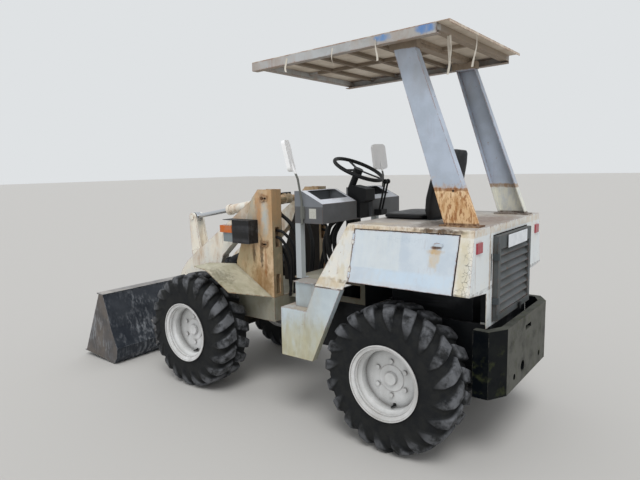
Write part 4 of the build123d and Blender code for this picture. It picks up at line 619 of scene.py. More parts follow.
LOADER_COATS = (
    # Warm tan plate streaked with brown rust, grey-green behind, with painted shade in round holes and runs below
    # them
    WeatheredPaint(
        "tan_tower_enamel", "#e2c6a3", "#d6ba94", faces=(Face(REAR, "#9c9378"),), stain="#b0834f",
        stain_mm=240.0, stain_level=0.53, stain_strength=0.65, run_strength=0.5,
        patches=(
            Patch((-0.12, 0.3, 1.4), (0.034, 0.14, 0.19), "#c39d72", 0.85, 0.6),
            Patch((0.16, 0.33, 0.93), (0.15, 0.1, 0.17), "#beb18f", 0.75, 0.6),
            Patch((0.1, 0.33, 1.35), (0.06, 0.1, 0.13), "#b9bbb0", 0.7, 0.6),
            Patch((0.0, 0.33, 1.34), (0.03, 0.1, 0.14), "#c08a5c", 0.7, 0.9),
            # Painted shade with grease: the towers' inner faces, dark between them from 0.67 to 1.31 m up
            panel((0.0, 0.0, 0.99), (0.6, 0.2295, 0.32), "#15171a", 0.97, 0.008),
            Patch((-0.02, 0.33, 0.82), (0.1, 0.1, 0.13), "#906b3b", 0.75, 0.6),
            Patch((-0.066, 0.33, 1.3), (0.03, 0.08, 0.11), "#bfc8c6", 0.85, 1.0, blur=0.7),
            Patch((-0.022, 0.33, 1.03), (0.016, 0.08, 0.095), "#3f3225", 0.9, 0.9),
            Patch((0.055, 0.33, 1.03), (0.013, 0.08, 0.07), "#4a3a28", 0.8, 0.9),
            Patch((-0.062, 0.33, 0.95), (0.012, 0.08, 0.1), "#9c5f2a", 0.7, 0.9),
            Patch((0.02, 0.33, 0.95), (0.15, 0.08, 0.22), "#86643a", 0.4, 0.4, speck_mm=24.0),
            Patch((0.06, 0.33, 1.3), (0.16, 0.08, 0.2), "#a9ada0", 0.4, 0.4, speck_mm=45.0),
            # Painted shade: the insides of two round holes
            Patch((-0.0465, 0.34, 1.443), (0.015, 0.03, 0.015), "#17110d", 1.0, 0.0),
            Patch((-0.0405, 0.34, 1.105), (0.013, 0.03, 0.013), "#17110d", 1.0, 0.0),
            Patch((-0.055, 0.33, 1.443), (0.045, 0.08, 0.03), "#8a6038", 0.55, 0.6),
            Patch((-0.05, 0.33, 1.105), (0.05, 0.08, 0.03), "#7d5a38", 0.55, 0.6),
        ),
    ),
    # Warm cream over heavy plate, stained brown round its pins
    WeatheredPaint(
        "cream_boom_enamel", "#fbf4e4", "#f0efe6", faces=(Face(UP, "#eef2ee"),), stain="#c39c72",
        stain_mm=150.0, stain_level=0.57, stain_strength=0.7, run_strength=0.5, grime_heights=(0.6, 0.2),
        patches=(
            Patch((0.49, 0.3, 0.86), (0.16, 0.12, 0.05), "#b98a62", 0.6, 0.8),
            Patch((0.04, 0.0, 1.42), (0.17, 0.4, 0.15), "#a38b63", 0.85, 0.4),
        ),
    ),
    # Greenish cream sheet, mottled with mould where water lies
    WeatheredPaint(
        "pale_green_cream_enamel", "#c9c5b0", "#b6b29a", stain="#958f70", stain_mm=120.0, stain_strength=0.55,
        grime_strength=0.25,
        patches=(
            Patch((0.09, 0.57, 0.9), (0.15, 0.1, 0.06), "#5f5b46", 0.55, 1.3),
            Patch((-0.05, 0.6, 0.9), (0.1, 0.09, 0.06), "#7d775c", 0.5, 1.2),
        ),
    ),
    # Dull khaki under road dirt
    WeatheredPaint(
        "khaki_frame_enamel", "#a5a395", "#94917f", stain="#8a7350", grime_strength=0.5,
        grime_heights=(0.75, 0.35),
    ),
)
CANOPY_COATS = (
    # Cool blue-grey section steel: the near foot bare to tan rust, the far foot cream
    WeatheredPaint(
        "blue_grey_post_enamel", "#c1ccdc", "#b4bfcd", stain="#9a938c", stain_strength=0.35, run_strength=0.1,
        patches=(
            panel((-1.6, 0.43, 1.4), (0.35, 0.1, 0.128), "#f7dcb6", 1.0, 0.08),
            Patch((-1.6, 0.43, 1.41), (0.35, 0.1, 0.118), "#d8ab72", 0.65, 1.0, square=True),
            Patch((-1.6, 0.43, 1.43), (0.3, 0.1, 0.11), "#9c6233", 0.85, 0.3, speck_mm=13.0),
            Patch((-1.6, 0.43, 1.4), (0.3, 0.1, 0.12), "#b57f48", 0.6, 0.3, speck_mm=34.0),
            Patch((-1.6, 0.43, 1.525), (0.35, 0.1, 0.008), "#8c5a30", 0.9, 0.9, square=True),
            Patch((-1.62, -0.43, 1.4), (0.35, 0.1, 0.125), "#e8e7d9", 0.95, 0.1, square=True, blur=0.06),
            Patch((-1.62, -0.43, 1.515), (0.3, 0.1, 0.012), "#8a6038", 0.8, 0.8, square=True),
            Patch((-1.575, 0.46, 1.518), (0.007, 0.02, 0.007), "#2a1a12", 1.0, 0.0),
            Patch((-1.6, 0.0, 1.334), (0.4, 0.7, 0.01), "#4a2c20", 0.9, 0.2, square=True),
        ),
    ),
    # Grey angle steel, brown underneath, with two chips of blue
    WeatheredPaint(
        "canopy_beam_enamel", "#c2c5c6", "#b0b1b0", faces=(Face(DOWN, "#8b8075"),), stain="#a98055",
        stain_mm=180.0, stain_strength=0.35, run_strength=0.35,
        patches=(
            panel((-0.93, 0.0, 2.33), (0.592, 0.512, 0.09), "#786957", 0.95),
            Patch((-1.45, 0.0, 2.33), (0.26, 0.5, 0.09), "#a1917f", 0.85, 0.3, square=True),
            Patch((-1.2, 0.567, 2.352), (0.046, 0.01, 0.018), "#6e98cc", 0.95, 0.8),
            Patch((-1.455, 0.567, 2.362), (0.05, 0.01, 0.024), "#5d8dca", 0.95, 0.8),
            Patch((-1.545, 0.567, 2.37), (0.03, 0.03, 0.06), "#3d2f27", 0.9, 0.4),
            Patch((-1.1, 0.567, 2.395), (0.6, 0.02, 0.012), RUST, 0.7, 0.9, square=True),
        ),
    ),
    # Dusty beige sheet with rusty edges
    WeatheredPaint(
        "canopy_sheet_enamel", "#dccfbd", "#cdbfac", stain="#8e6e4a", stain_strength=0.35, run_strength=0.0,
        edge_rust=0.95,
    ),
)
CAB_COATS = (
    # Satin dark grey, paler above the step line, with a pale label and pale legs
    WeatheredPaint(
        "dark_cowl_enamel", "#5f6164", "#565759", stain="#6d6860", run_strength=0.1, speck_level=0.76,
        edge_rust=0.2,
        patches=(
            panel((-0.6075, 0.0, 1.4), (0.111, 0.388, 0.096), "#8e9296", 0.7),
            panel((-0.515, 0.0, 1.1), (0.06, 0.6, 0.198), "#b4babc", 1.0),
            panel((-0.61, 0.5, 1.458), (0.12, 0.006, 0.05), "#8b9097", 0.6, 0.05),
            panel((-0.64, 0.5, 1.364), (0.028, 0.006, 0.032), "#c9c9c0", 0.95, 0.05),
            Patch((-0.64, 0.5, 1.364), (0.026, 0.006, 0.03), "#8d8c7a", 0.5, 0.0, square=True, crackle_mm=12.0),
        ),
    ),
    # Grey-white sheet with a dusty top
    WeatheredPaint(
        "grey_white_box_enamel", "#bfccd1", "#b1bcc0", faces=(Face(UP, "#9d958c"),), stain="#9a9790", speck_level=0.74
    ),
    # Clean pale edge round each trough
    WeatheredPaint("pale_cowl_enamel", "#e2e7ef", "#d8dde5", stain="#8d8a84", speck_level=0.76, edge_rust=0.1),
    # Bright smooth shells on dull grey stems
    Moulded(
        "white_mirror_abs", "#ffffff", dust="#dfe4e8", dust_strength=0.15,
        patches=(panel((-0.53, 0.0, 1.4), (0.3, 0.9, 0.222), "#5d5f58", 0.95, 0.02),),
    ),
    # Near black, matt and dusty
    Moulded("dark_column_abs", "#101215", roughness=0.6, dust="#2c2c2b", dust_strength=0.4),
)
DARK_COATS = (
    # Even dark grey slats
    WeatheredPaint("dark_grille_enamel", "#50565a", "#454b4d", stain="#55584f", run_strength=0.0, edge_rust=0.25),
    # Light dusty grey, with painted shade and grime in its hollows and round its bolts
    WeatheredPaint(
        "warm_grey_rim_enamel", "#e9eaea", "#dedfde", recess_shade_and_grime="#4f4e4b", recess_shade_and_grime_strength=0.8, stain="#9f9d98",
        stain_strength=0.25, run_strength=0.0, edge_rust=0.15, speck_level=0.76, grime_strength=0.2,
    ),
    # Near black, its few scuffs dull
    ScuffedBlack("scuffed_black_chassis_paint", "#0c1116", dust="#2a2b2c"),
    # Blue-black with fine pale scuffs, worn to grey-brown on its cheeks and its upper edge
    ScuffedBlack(
        "black_bucket_paint", "#20262f", "#a2a7ad", "#4c5056", 0.5, 230.0,
        (Face((0.0, 1.0, 0.0), "#6d655e"), Face(UP, "#b4afa9")), scuff_mm=26.0, scuff_pattern=Pattern.HANGING,
    ),
    # Matt black folded sheet
    ScuffedBlack("black_lamp_sheet", "#19191b", dust="#3a3936", dust_strength=0.3),
    # Dark and grainy, almost without a shine
    SandCastIron("oily_cast_iron"),
    # Black sides, a face grey with dust, and moss in its hollows
    SandCastIron(
        "dusty_counterweight_casting", "#070b10", "#2a2c28", 0.25,
        (Face(REAR, "#6f6f69", 0.9, 0.94), Face(UP, "#5a5b55")), "#4d5233",
    ),
)
SMALL_FINISHES = (
    # Bright and mirror smooth
    Steel("hard_chrome", "#c9ccd0", 0.14, tarnish_level=0.72),
    # Dull brown grey
    Steel("tarnished_pin_steel", "#5f564d", 0.5, tarnish="#2b1d14", tarnish_level=0.5),
    DustyRubber(),
    # Black with a fine grain and a soft sheen
    Moulded("black_moulded_vinyl", "#0c0d0f", dust="#26272a", roughness=0.42, grain_mm=2.5),
    # Black and slightly glossy
    Moulded("black_moulded_plastic", "#101113", dust="#303133"),
    # Matt black
    Moulded("black_hose_rubber", "#0d0f12", dust="#2e2e2c", roughness=0.6),
    # Off-white and limp
    Moulded("white_polythene_tape", "#e4ded2", dust="#a79c88", roughness=0.7),
    # White, smooth and blank
    Moulded("white_plate_enamel", "#e9edf1", dust="#b9bdc2", roughness=0.4),
    # Clear orange and glossy
    Lens("orange_signal_lens", "#cf6a1f"),
    # Deep red and glossy
    Lens("red_reflector_lens", "#a5283a"),
    # Grey, part clear and glossy
    Lens("clear_lamp_glass", "#8f9ca2", 0.25),
)
DRESSING = {
    "cream_cover_enamel": ("engine_cover",),
    "blue_white_door_enamel": ("side_door_left", "side_door_right"),
    "white_step_enamel": ("side_steps",),
    "tan_tower_enamel": ("loader_tower",),
    "cream_boom_enamel": ("boom", "bellcrank", "bucket_link", "tilt_barrel"),
    "pale_green_cream_enamel": ("front_fenders",),
    "khaki_frame_enamel": ("front_frame", "operator_floor"),
    "blue_grey_post_enamel": ("canopy_posts",),
    "canopy_beam_enamel": ("canopy_frame",),
    "canopy_sheet_enamel": ("canopy_roof",),
    "dark_cowl_enamel": ("cowl",),
    "grey_white_box_enamel": ("step_box",),
    "white_mirror_abs": ("mirrors",),
    "dark_column_abs": ("steering_column",),
    "dark_grille_enamel": ("rear_grille",),
    "scuffed_black_chassis_paint": (
        "rear_chassis",
        "seat_base",
        "lift_barrels",
        "steer_barrel_left",
        "steer_barrel_right",
        "engine_block",
    ),
    "black_bucket_paint": ("bucket",),
    "black_lamp_sheet": ("headlamp_boxes",),
    "oily_cast_iron": ("rear_axle", "front_axle"),
    "dusty_counterweight_casting": ("counterweight",),
    "hard_chrome": ("lift_rods", "tilt_rod", "steer_rod_left", "steer_rod_right"),
    "tarnished_pin_steel": ("pivot_pin",),
    "black_moulded_plastic": ("steering_wheel", "control_levers"),
    "orange_signal_lens": ("turn_signals",),
    "red_reflector_lens": ("reflectors",),
    "clear_lamp_glass": ("headlamps",),
}


@dataclass
class Surface:
    """Points and quads of one mesh."""

    points: Array
    quads: Array

    @staticmethod
    def grid(points: Array, wrap_rows: bool = False, wrap_columns: bool = False) -> "Surface":
        """A surface of two parameters: a grid of points, joined by quads to the next row and column.

        Args:
            points: rows by columns by 3.
            wrap_rows: Joins the last row to the first.
            wrap_columns: Joins the last column to the first.

        Returns:
            The surface.
        """
        rows, columns = points.shape[:2]
        index = np.arange(rows * columns).reshape(rows, columns)
        if wrap_rows:
            index = np.vstack([index, index[:1]])
        if wrap_columns:
            index = np.hstack([index, index[:, :1]])
        corners = (index[:-1, :-1], index[1:, :-1], index[1:, 1:], index[:-1, 1:])
        return Surface(points.reshape(-1, 3), np.stack(corners, -1).reshape(-1, 4))

    @staticmethod
    def joined(parts: list["Surface"]) -> "Surface":
        """Several surfaces as one mesh that shares no points: their quads are counted on from one to the next.

        Args:
            parts: The surfaces.

        Returns:
            The surface.
        """
        starts = np.cumsum([0] + [len(part.points) for part in parts[:-1]])
        quads = [part.quads + start for part, start in zip(parts, starts)]
        return Surface(np.vstack([part.points for part in parts]), np.vstack(quads))

    @staticmethod
    def tube(path: Array, radius: float | Array, sides: int = 10, up: tuple = (0.0, 0.0, 1.0)) -> "Surface":
        """A round tube: circles of the given radius square to the path's tangent, closed at both ends.

        Args:
            path: Points by 3, its centreline.
            radius: One radius, or one for each point.
            sides: Points round each circle.
            up: A direction that the path never runs along, which the circles are turned by.

        Returns:
            The surface.
        """
        tangent = np.gradient(path, axis=0)
        tangent /= np.linalg.norm(tangent, axis=1, keepdims=True)
        across = np.cross(tangent, np.array(up, float))
        across /= np.linalg.norm(across, axis=1, keepdims=True)
        above = np.cross(across, tangent)
        angle = np.arange(sides) * TAU / sides
        reach = np.broadcast_to(np.asarray(radius, float), (len(path),))
        circle = across[:, None] * np.cos(angle)[None, :, None] + above[:, None] * np.sin(angle)[None, :, None]
        rings = path[:, None] + circle * reach[:, None, None]
        ends = [np.repeat(path[i][None, None], sides, 1) for i in (0, -1)]
        return Surface.grid(np.concatenate([ends[0], rings, ends[1]]), wrap_columns=True)

    @staticmethod
    def slab(size: Triple, round_mm: float, place: Matrix, sides: int = 8) -> "Surface":
        """A slab whose outline in local XY has round corners: its outline, stepped in at both faces.

        Args:
            size: Its length, width and thickness.
            round_mm: Its corner radius in plan; its edges are eased by a quarter of that.
            place: Where its middle goes.
            sides: Points in each round corner.

        Returns:
            The surface.
        """
        radius = round_mm / 1000
        ease = radius / 4
        turn = np.linspace(0, TAU / 4, sides)
        quarter = (turn[None] + np.arange(4)[:, None] * TAU / 4).ravel()
        signs = np.repeat([(1, 1), (-1, 1), (-1, -1), (1, -1)], sides, axis=0)
        inner = signs * (np.array(size[:2]) / 2 - radius)
        unit = np.stack([np.cos(quarter), np.sin(quarter)], -1)
        layers = ((0.0, -1, 0), (-ease, -1, 1), (0.0, -1 + 2 * ease / size[2], 1), (0.0, 1 - 2 * ease / size[2], 1))
        rings = []
        for inset, level, shown in (*layers, (-ease, 1, 1), (0.0, 1, 0)):
            flat = (inner + unit * (radius + inset)) * shown
            rings.append(np.column_stack([flat, np.full(len(flat), level * size[2] / 2)]))
        matrix = np.array(place)
        return Surface.grid(np.array(rings) @ matrix[:3, :3].T + matrix[:3, 3], wrap_columns=True)

    @staticmethod
    def heads(places: Array, axis: Array, across: float, height: float) -> "Surface":
        """Hexagon bolt heads: one six-sided stepped prism, repeated at every place along one axis.

        Args:
            places: Points by 3, where the heads sit.
            axis: The way they face.
            across: Their width over flats.
            height: Their height.

        Returns:
            The surface.
        """
        # Shares of the radius and of the height: a washer, then the hexagon and its eased top
        profile = ((1.35, 0.0), (1.35, 0.12), (1.0, 0.12), (1.0, 0.9), (0.86, 1.0), (0.0, 1.0))
        turn = Vector((0, 0, 1)).rotation_difference(Vector(axis)).to_matrix()
        angle = np.arange(6) * TAU / 6
        reach, level = (np.array(row)[:, None] + 0 * angle for row in zip(*profile))
        reach = reach * across / math.sqrt(3)
        template = np.stack([reach * np.cos(angle), reach * np.sin(angle), level * height], -1)
        placed = template @ np.array(turn).T
        return Surface.joined([Surface.grid(placed + place, wrap_columns=True) for place in places])


def frame_at(origin: tuple | Array, z_axis: tuple | Array, x_hint: tuple = (1.0, 0.0, 0.0)) -> Matrix:
    """A place whose Z axis points along z_axis and whose X axis is as near x_hint as it can be.

    Args:
        origin: Where it is.
        z_axis: The way its Z axis points.
        x_hint: The way its X axis should point.

    Returns:
        The matrix.
    """
    z = Vector(z_axis).normalized()
    y = z.cross(Vector(x_hint)).normalized()
    x = y.cross(z)
    matrix = Matrix((x, y, z)).transposed().to_4x4()
    matrix.translation = Vector(origin)
    return matrix


class Workshop:
    """Adds pieces to the scene, gives frame nodes their finishes and counts what was made."""

    def __init__(self, frame: dict[str, Any]) -> None:
        """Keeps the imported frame.
        """
        self.frame = frame
        self.made = 0

    def dress(self, material: Material, *nodes: str) -> None:
        """Gives frame nodes their finish.

        Args:
            material: The finish.
            nodes: The nodes' names.
        """
        for name in nodes:
            slots = self.frame["nodes"][name].data.materials
            slots.clear()
            slots.append(material)
            LOG.info("dressed %s in %s", name, material.name)

    def piece(
        self,
        name: str,
        surface: Surface,
        material: Material,
        body: str,
        slot: str = "",
        sharp: float = 40.0,
        attributes: dict[str, Array] | None = None,
    ) -> bpy.types.Object:
        """Makes an object of a surface and lets it ride on a body.

        Args:
            name: The piece's name.
            surface: Its mesh.
            material: Its finish.
            body: The body that carries it.
            slot: Not used.
            sharp: Edges over this angle in degrees stay sharp.
            attributes: Values for each point.

        Returns:
            The object.
        """
        mesh = bpy.data.meshes.new(name)
        mesh.from_pydata(surface.points.tolist(), [], surface.quads.tolist())
        for key, values in (attributes or {}).items():
            mesh.attributes.new(key, "FLOAT", "POINT").data.foreach_set("value", values.astype(np.float32))
        mesh.materials.append(material)
        piece = bpy.data.objects.new(name, mesh)
        bpy.context.scene.collection.objects.link(piece)
        self.tidy(piece, math.radians(sharp))
        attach(piece, body)
        self.made += 1
        LOG.info("built %s: %d faces on %s", name, len(mesh.polygons), body)
        return piece

    @staticmethod
    def tidy(piece: bpy.types.Object, sharp: float) -> None:
        """Merges doubled points, turns the faces outwards and shades them smooth up to an angle.

        Args:
            piece: The object.
            sharp: The angle in radians over which an edge stays sharp.
        """
        work = bmesh.new()
        work.from_mesh(piece.data)
        bmesh.ops.remove_doubles(work, verts=work.verts, dist=1e-6)
        bmesh.ops.dissolve_degenerate(work, edges=work.edges, dist=1e-7)
        bmesh.ops.recalc_face_normals(work, faces=work.faces)
        work.to_mesh(piece.data)
        work.free()
        piece.data.shade_smooth()
        piece.data.set_sharp_from_angle(angle=sharp)


@dataclass
class Tyres:
    """Four broad tyres with slanted lugs that run down the shoulders to a point."""

    shop: Workshop
    rubber: Material
    segments: int = 640
    stations: int = 112
    lugs: int = 20
    lug_width: float = 0.090
    lug_foot_width: float = 0.064
    lug_tip_width: float = 0.010
    lug_depth: float = 0.0315
    lug_lead: float = 0.033
    lug_lag: float = 0.033
    tip_sweep: float = 0.020
    lug_draft: float = 0.016
    lug_shoulder: float = 0.150
    lug_end: float = 0.218
    lug_gap: float = 0.002
    lug_run_out: float = 0.010
    fade_start: float = 0.118
    fade_share: float = 0.72
    fade_power: float = 0.7
    side_swell: float = 0.6
    smoothing: int = 7
    # Casing section from the crown to the bead: distance from the centre plane, and radius
    casing: tuple[tuple[float, float], ...] = (
        (0.0, 0.4025),
        (0.062, 0.402),
        (0.104, 0.400),
        (0.126, 0.390),
        (0.137, 0.366),
        (0.1425, 0.322),
        (0.1435, 0.268),
        (0.1445, 0.228),
        (0.1445, 0.2045),
    )

    def section(self) -> tuple[Array, Array, Array, Array, Array]:
        """The casing's section: its stations spread evenly by arc length, softened, with outward normals.

        Returns:
            Signed arc distance from the crown, offset from the centre plane, radius, and the normal's two parts.
        """
        half = np.array(self.casing)
        whole = np.vstack([half[::-1] * (-1, 1), half[1:]])
        arc = np.concatenate([[0], np.cumsum(np.linalg.norm(np.diff(whole, axis=0), axis=1))])
        even = np.linspace(0, arc[-1], self.stations)
        y, radius = np.interp(even, arc, whole[:, 0]), np.interp(even, arc, whole[:, 1])
        kernel, margin = np.ones(self.smoothing) / self.smoothing, self.smoothing // 2
        soft_y, soft_r = (np.convolve(np.pad(row, margin, mode="edge"), kernel, mode="valid") for row in (y, radius))
        soft_y[[0, -1]], soft_r[[0, -1]] = y[[0, -1]], radius[[0, -1]]
        across, out = np.gradient(soft_y), np.gradient(soft_r)
        length = np.hypot(across, out)
        return even - arc[-1] / 2, soft_y, soft_r, -out / length, across / length

    def lug_field(self, angle: Array, arc: Array, radius: Array) -> Array:
        """How far the lugs rise at each angle and arc distance, from 0 to 1.

        A lug is a band round a slanted centreline, ahead of the radius at the crown and behind it at the
        shoulder. The rise falls off over the draft at its flanks, and past the shoulder the band narrows,
        sweeps back and sinks to a dagger's point on the sidewall.

        Args:
            angle: Angles round the tyre, one column each.
            arc: Signed arc distances, one row each.
            radius: The casing's radius at each row.

        Returns:
            The rise, rows by columns.
        """
        rise = np.zeros((len(arc), len(angle)))
        pitch = TAU / self.lugs
        around = radius[:, None]
        for side, phase in ((1, 0.0), (-1, 0.5)):
            reach = (side * arc)[:, None]
            share = np.clip(reach / self.lug_shoulder, 0, 1)
            run = np.clip((reach - self.lug_shoulder) / (self.lug_end - self.lug_shoulder), 0, 1)
            middle = self.lug_lead - (self.lug_lead + self.lug_lag) * share - self.tip_sweep * run
            offset = (angle[None, :] - middle / around) / pitch + phase
            distance = np.abs(offset - np.round(offset)) * pitch * around
            foot = self.lug_width + (self.lug_foot_width - self.lug_width) * share
            half = (foot + (self.lug_tip_width - self.lug_foot_width) * run) / 2
            flank = np.clip((half - distance) / self.lug_draft + 0.5, 0, 1)
            start = np.clip((reach - self.lug_gap) / self.lug_draft, 0, 1)
            end = np.clip((self.lug_end - reach) / self.lug_run_out, 0, 1)
            sunk = np.clip((reach - self.fade_start) / (self.lug_end - self.fade_start), 0, 1)
            depth = 1 - self.fade_share * sunk**self.fade_power
            rise = np.maximum(rise, flank * flank * (3 - 2 * flank) * start * end * depth)
        return rise

    def surface(self, centre: Vector, sign: int) -> tuple[Surface, Array]:
        """One tyre: the section turned about Y, moved out along its normal by the lugs' rise.

        Args:
            centre: The middle of its box.
            sign: 1 on the left and -1 on the right, which mirrors the tread.

        Returns:
            The surface and the lugs' rise at each point.
        """
        arc, y, radius, out_y, out_r = self.section()
        angle = np.arange(self.segments) * TAU / self.segments
        rise = self.lug_field(angle, arc, radius)
        swell = self.lug_depth * rise
        wide = y[:, None] + out_y[:, None] * swell * self.side_swell
        tall = radius[:, None] + out_r[:, None] * swell
        points = np.stack([tall * np.sin(angle), sign * (wide + 0 * angle), tall * np.cos(angle)], -1)
        return Surface.grid(points + np.array(centre), wrap_columns=True), rise.ravel()

    def build(self) -> None:
        """Builds the four tyres in place of the frame's plain ones."""
        for end in ("rear", "front"):
            for side, sign in SIDES:
                node = f"tyre_{end}_{side}"
                low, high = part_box(node)
                surface, rise = self.surface((low + high) / 2, sign)
                body = f"wheel_{end}_{side}"
                lug = {"lug": rise}
                made = self.shop.piece(f"lugged_{node}", surface, self.rubber, body, "tyre_rubber", 50.0, lug)
                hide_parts(node)


@dataclass
class Wheels:
    """The rims' finish and their valves."""

    shop: Workshop
    paint: Material
    valve: Material
    valve_radius: float = 0.161
    valve_angle: float = -97.0
    valve_length: float = 0.036
    valve_radii: tuple[float, ...] = (0.0085, 0.007, 0.005, 0.005, 0.0045)
    disc_depth: float = 0.109

    def build(self) -> None:
        """Dresses the rims and adds a valve stem in each disc's valve hole."""
        turn = math.radians(self.valve_angle)
        for end in ("rear", "front"):
            for side, sign in SIDES:
                node = f"rim_{end}_{side}"
                self.shop.dress(self.paint, node)
                low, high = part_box(node)
                foot = (low + high) / 2 + Vector((math.cos(turn), 0, math.sin(turn))) * self.valve_radius
                foot.y = (high.y if sign > 0 else low.y) - sign * self.disc_depth
                steps = np.linspace(0, self.valve_length, len(self.valve_radii))[:, None]
                path = np.array(foot) + steps * np.array([0.0, sign, 0.0])
                tube = Surface.tube(path, np.array(self.valve_radii))
                self.shop.piece(f"valve_{end}_{side}", tube, self.valve, f"wheel_{end}_{side}", "black_plastic")


@dataclass
class Seat:
    """The operator's seat: a crowned cushion and a rounded back in black vinyl."""

    shop: Workshop
    vinyl: Material
    rows: int = 48
    columns: int = 96

    def pad(self, stations: Array, square: float) -> Surface:
        """A closed pad: superellipse sections of changing centre and size, stacked along one direction.

        Args:
            stations: One row for each section: its centre's x and z, half length, half width and tilt.
            square: The exponent of the sections' corners, lower for squarer ones.

        Returns:
            The surface.
        """
        turn = np.arange(self.columns) * TAU / self.columns
        ring = [np.sign(f(turn)) * abs(f(turn)) ** square for f in (np.cos, np.sin)]
        fine = np.linspace(0, len(stations) - 1, self.rows)
        x, z, deep, wide, tilt = (np.interp(fine, np.arange(len(stations)), row)[:, None] for row in stations.T)
        along = deep * ring[0]
        points = np.stack([x + along * np.cos(tilt), wide * ring[1], z + along * np.sin(tilt)], -1)
        return Surface.grid(points, wrap_columns=True)

    def build(self) -> None:
        """Builds the cushion and the back over the plain solids."""
        low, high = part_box("seat_cushion")
        middle, size = (low + high) / 2, (high - low) / 2
        levels = ((0.0, 0.0), (0.0, 0.93), (0.25, 1.0), (0.7, 1.0), (0.9, 0.94), (0.97, 0.8), (1.0, 0.0))
        cushion = [(middle.x, low.z + (high.z - low.z) * h, size.x * w, size.y * w, 0.0) for h, w in levels]
        low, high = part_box("seat_back")
        front, height = high.x - 0.014, high.z - low.z
        # Share of the height, how far the middle stands behind the front, half thickness and half width
        curve = (
            (0.0, 0.03, 0.0, 0.0),
            (0.0, 0.03, 0.022, 0.205),
            (0.12, 0.028, 0.034, 0.225),
            (0.3, 0.036, 0.038, 0.226),
            (0.55, 0.060, 0.036, 0.222),
            (0.8, 0.088, 0.032, 0.202),
            (0.95, 0.108, 0.028, 0.165),
            (0.99, 0.115, 0.021, 0.135),
            (1.0, 0.116, 0.0, 0.0),
        )
        back = [(front - behind, low.z + height * h, deep, wide, 0.16) for h, behind, deep, wide in curve]
        for node, rows, square in (("seat_cushion", cushion, 0.34), ("seat_back", back, 0.6)):
            pad = self.pad(np.array(rows), square)
            made = self.shop.piece(f"{node}_vinyl", pad, self.vinyl, "rear_frame", "seat_vinyl")
            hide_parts(node)


# Each hose's radius and the points that it is led through. These two are mirrored on the right side
SIDE_HOSES = (
    (0.011, (-0.11, 0.27, 1.205), (-0.185, 0.262, 1.19), (-0.225, 0.2, 1.08), (-0.2, 0.16, 0.9), (-0.17, 0.14, 0.7)),
    (0.011, (-0.11, 0.285, 1.16), (-0.175, 0.278, 1.14), (-0.215, 0.23, 1.03), (-0.19, 0.19, 0.88),
     (-0.16, 0.18, 0.7)),
)
# The others, by the body that carries them: down from the tower, beneath the cowl, and the tilt cylinder's hard lines
HOSES = {
    "front_half": (
        (0.013, (0.0, 0.15, 1.405), (-0.02, 0.15, 1.34), (-0.14, 0.13, 1.24), (-0.21, 0.11, 1.06), (-0.17, 0.1, 0.7)),
        (0.013, (0.0, 0.11, 1.405), (-0.02, 0.11, 1.32), (-0.12, 0.08, 1.22), (-0.2, 0.05, 1.02), (-0.16, 0.06, 0.7)),
        (0.013, (0.0, -0.12, 1.405), (-0.02, -0.12, 1.33), (-0.13, -0.09, 1.23), (-0.21, -0.04, 1.04),
         (-0.17, -0.03, 0.7)),
        (0.011, (0.0, -0.16, 1.405), (-0.02, -0.16, 1.34), (-0.1, -0.14, 1.2), (-0.17, -0.11, 1.0),
         (-0.14, -0.09, 0.7)),
        (0.011, (0.0, 0.19, 1.405), (0.01, 0.19, 1.3), (-0.03, 0.17, 1.14), (-0.1, 0.13, 0.95), (-0.12, 0.12, 0.7)),
        (0.011, (0.01, -0.19, 1.405), (0.02, -0.19, 1.3), (0.0, -0.17, 1.14), (-0.07, -0.12, 0.95),
         (-0.12, -0.1, 0.7)),
    ),
    "rear_frame": (
        (0.014, (-0.56, 0.06, 1.303), (-0.5, 0.13, 1.23), (-0.475, 0.16, 1.09), (-0.52, 0.17, 0.925)),
        (0.014, (-0.58, 0.02, 1.303), (-0.52, 0.09, 1.22), (-0.495, 0.12, 1.07), (-0.55, 0.14, 0.925)),
        (0.011, (-0.6, 0.2, 1.303), (-0.56, 0.23, 1.2), (-0.55, 0.21, 1.06), (-0.6, 0.18, 0.925)),
        (0.011, (-0.56, -0.06, 1.303), (-0.5, -0.12, 1.22), (-0.48, -0.14, 1.08), (-0.53, -0.13, 0.925)),
        (0.016, (-0.6, 0.09, 1.303), (-0.57, 0.16, 1.18), (-0.59, 0.17, 1.04), (-0.63, 0.15, 0.925)),
        (0.013, (-0.62, 0.26, 1.303), (-0.6, 0.28, 1.19), (-0.61, 0.25, 1.05), (-0.65, 0.21, 0.925)),
    ),
    "tilt_barrel": (
        (0.007, (-0.02, 0.022, 1.468), (0.12, 0.024, 1.452), (0.28, 0.022, 1.43), (0.36, 0.012, 1.405)),
        (0.007, (-0.02, -0.02, 1.468), (0.05, -0.022, 1.463), (0.1, -0.02, 1.455), (0.13, -0.01, 1.435)),
    ),
}


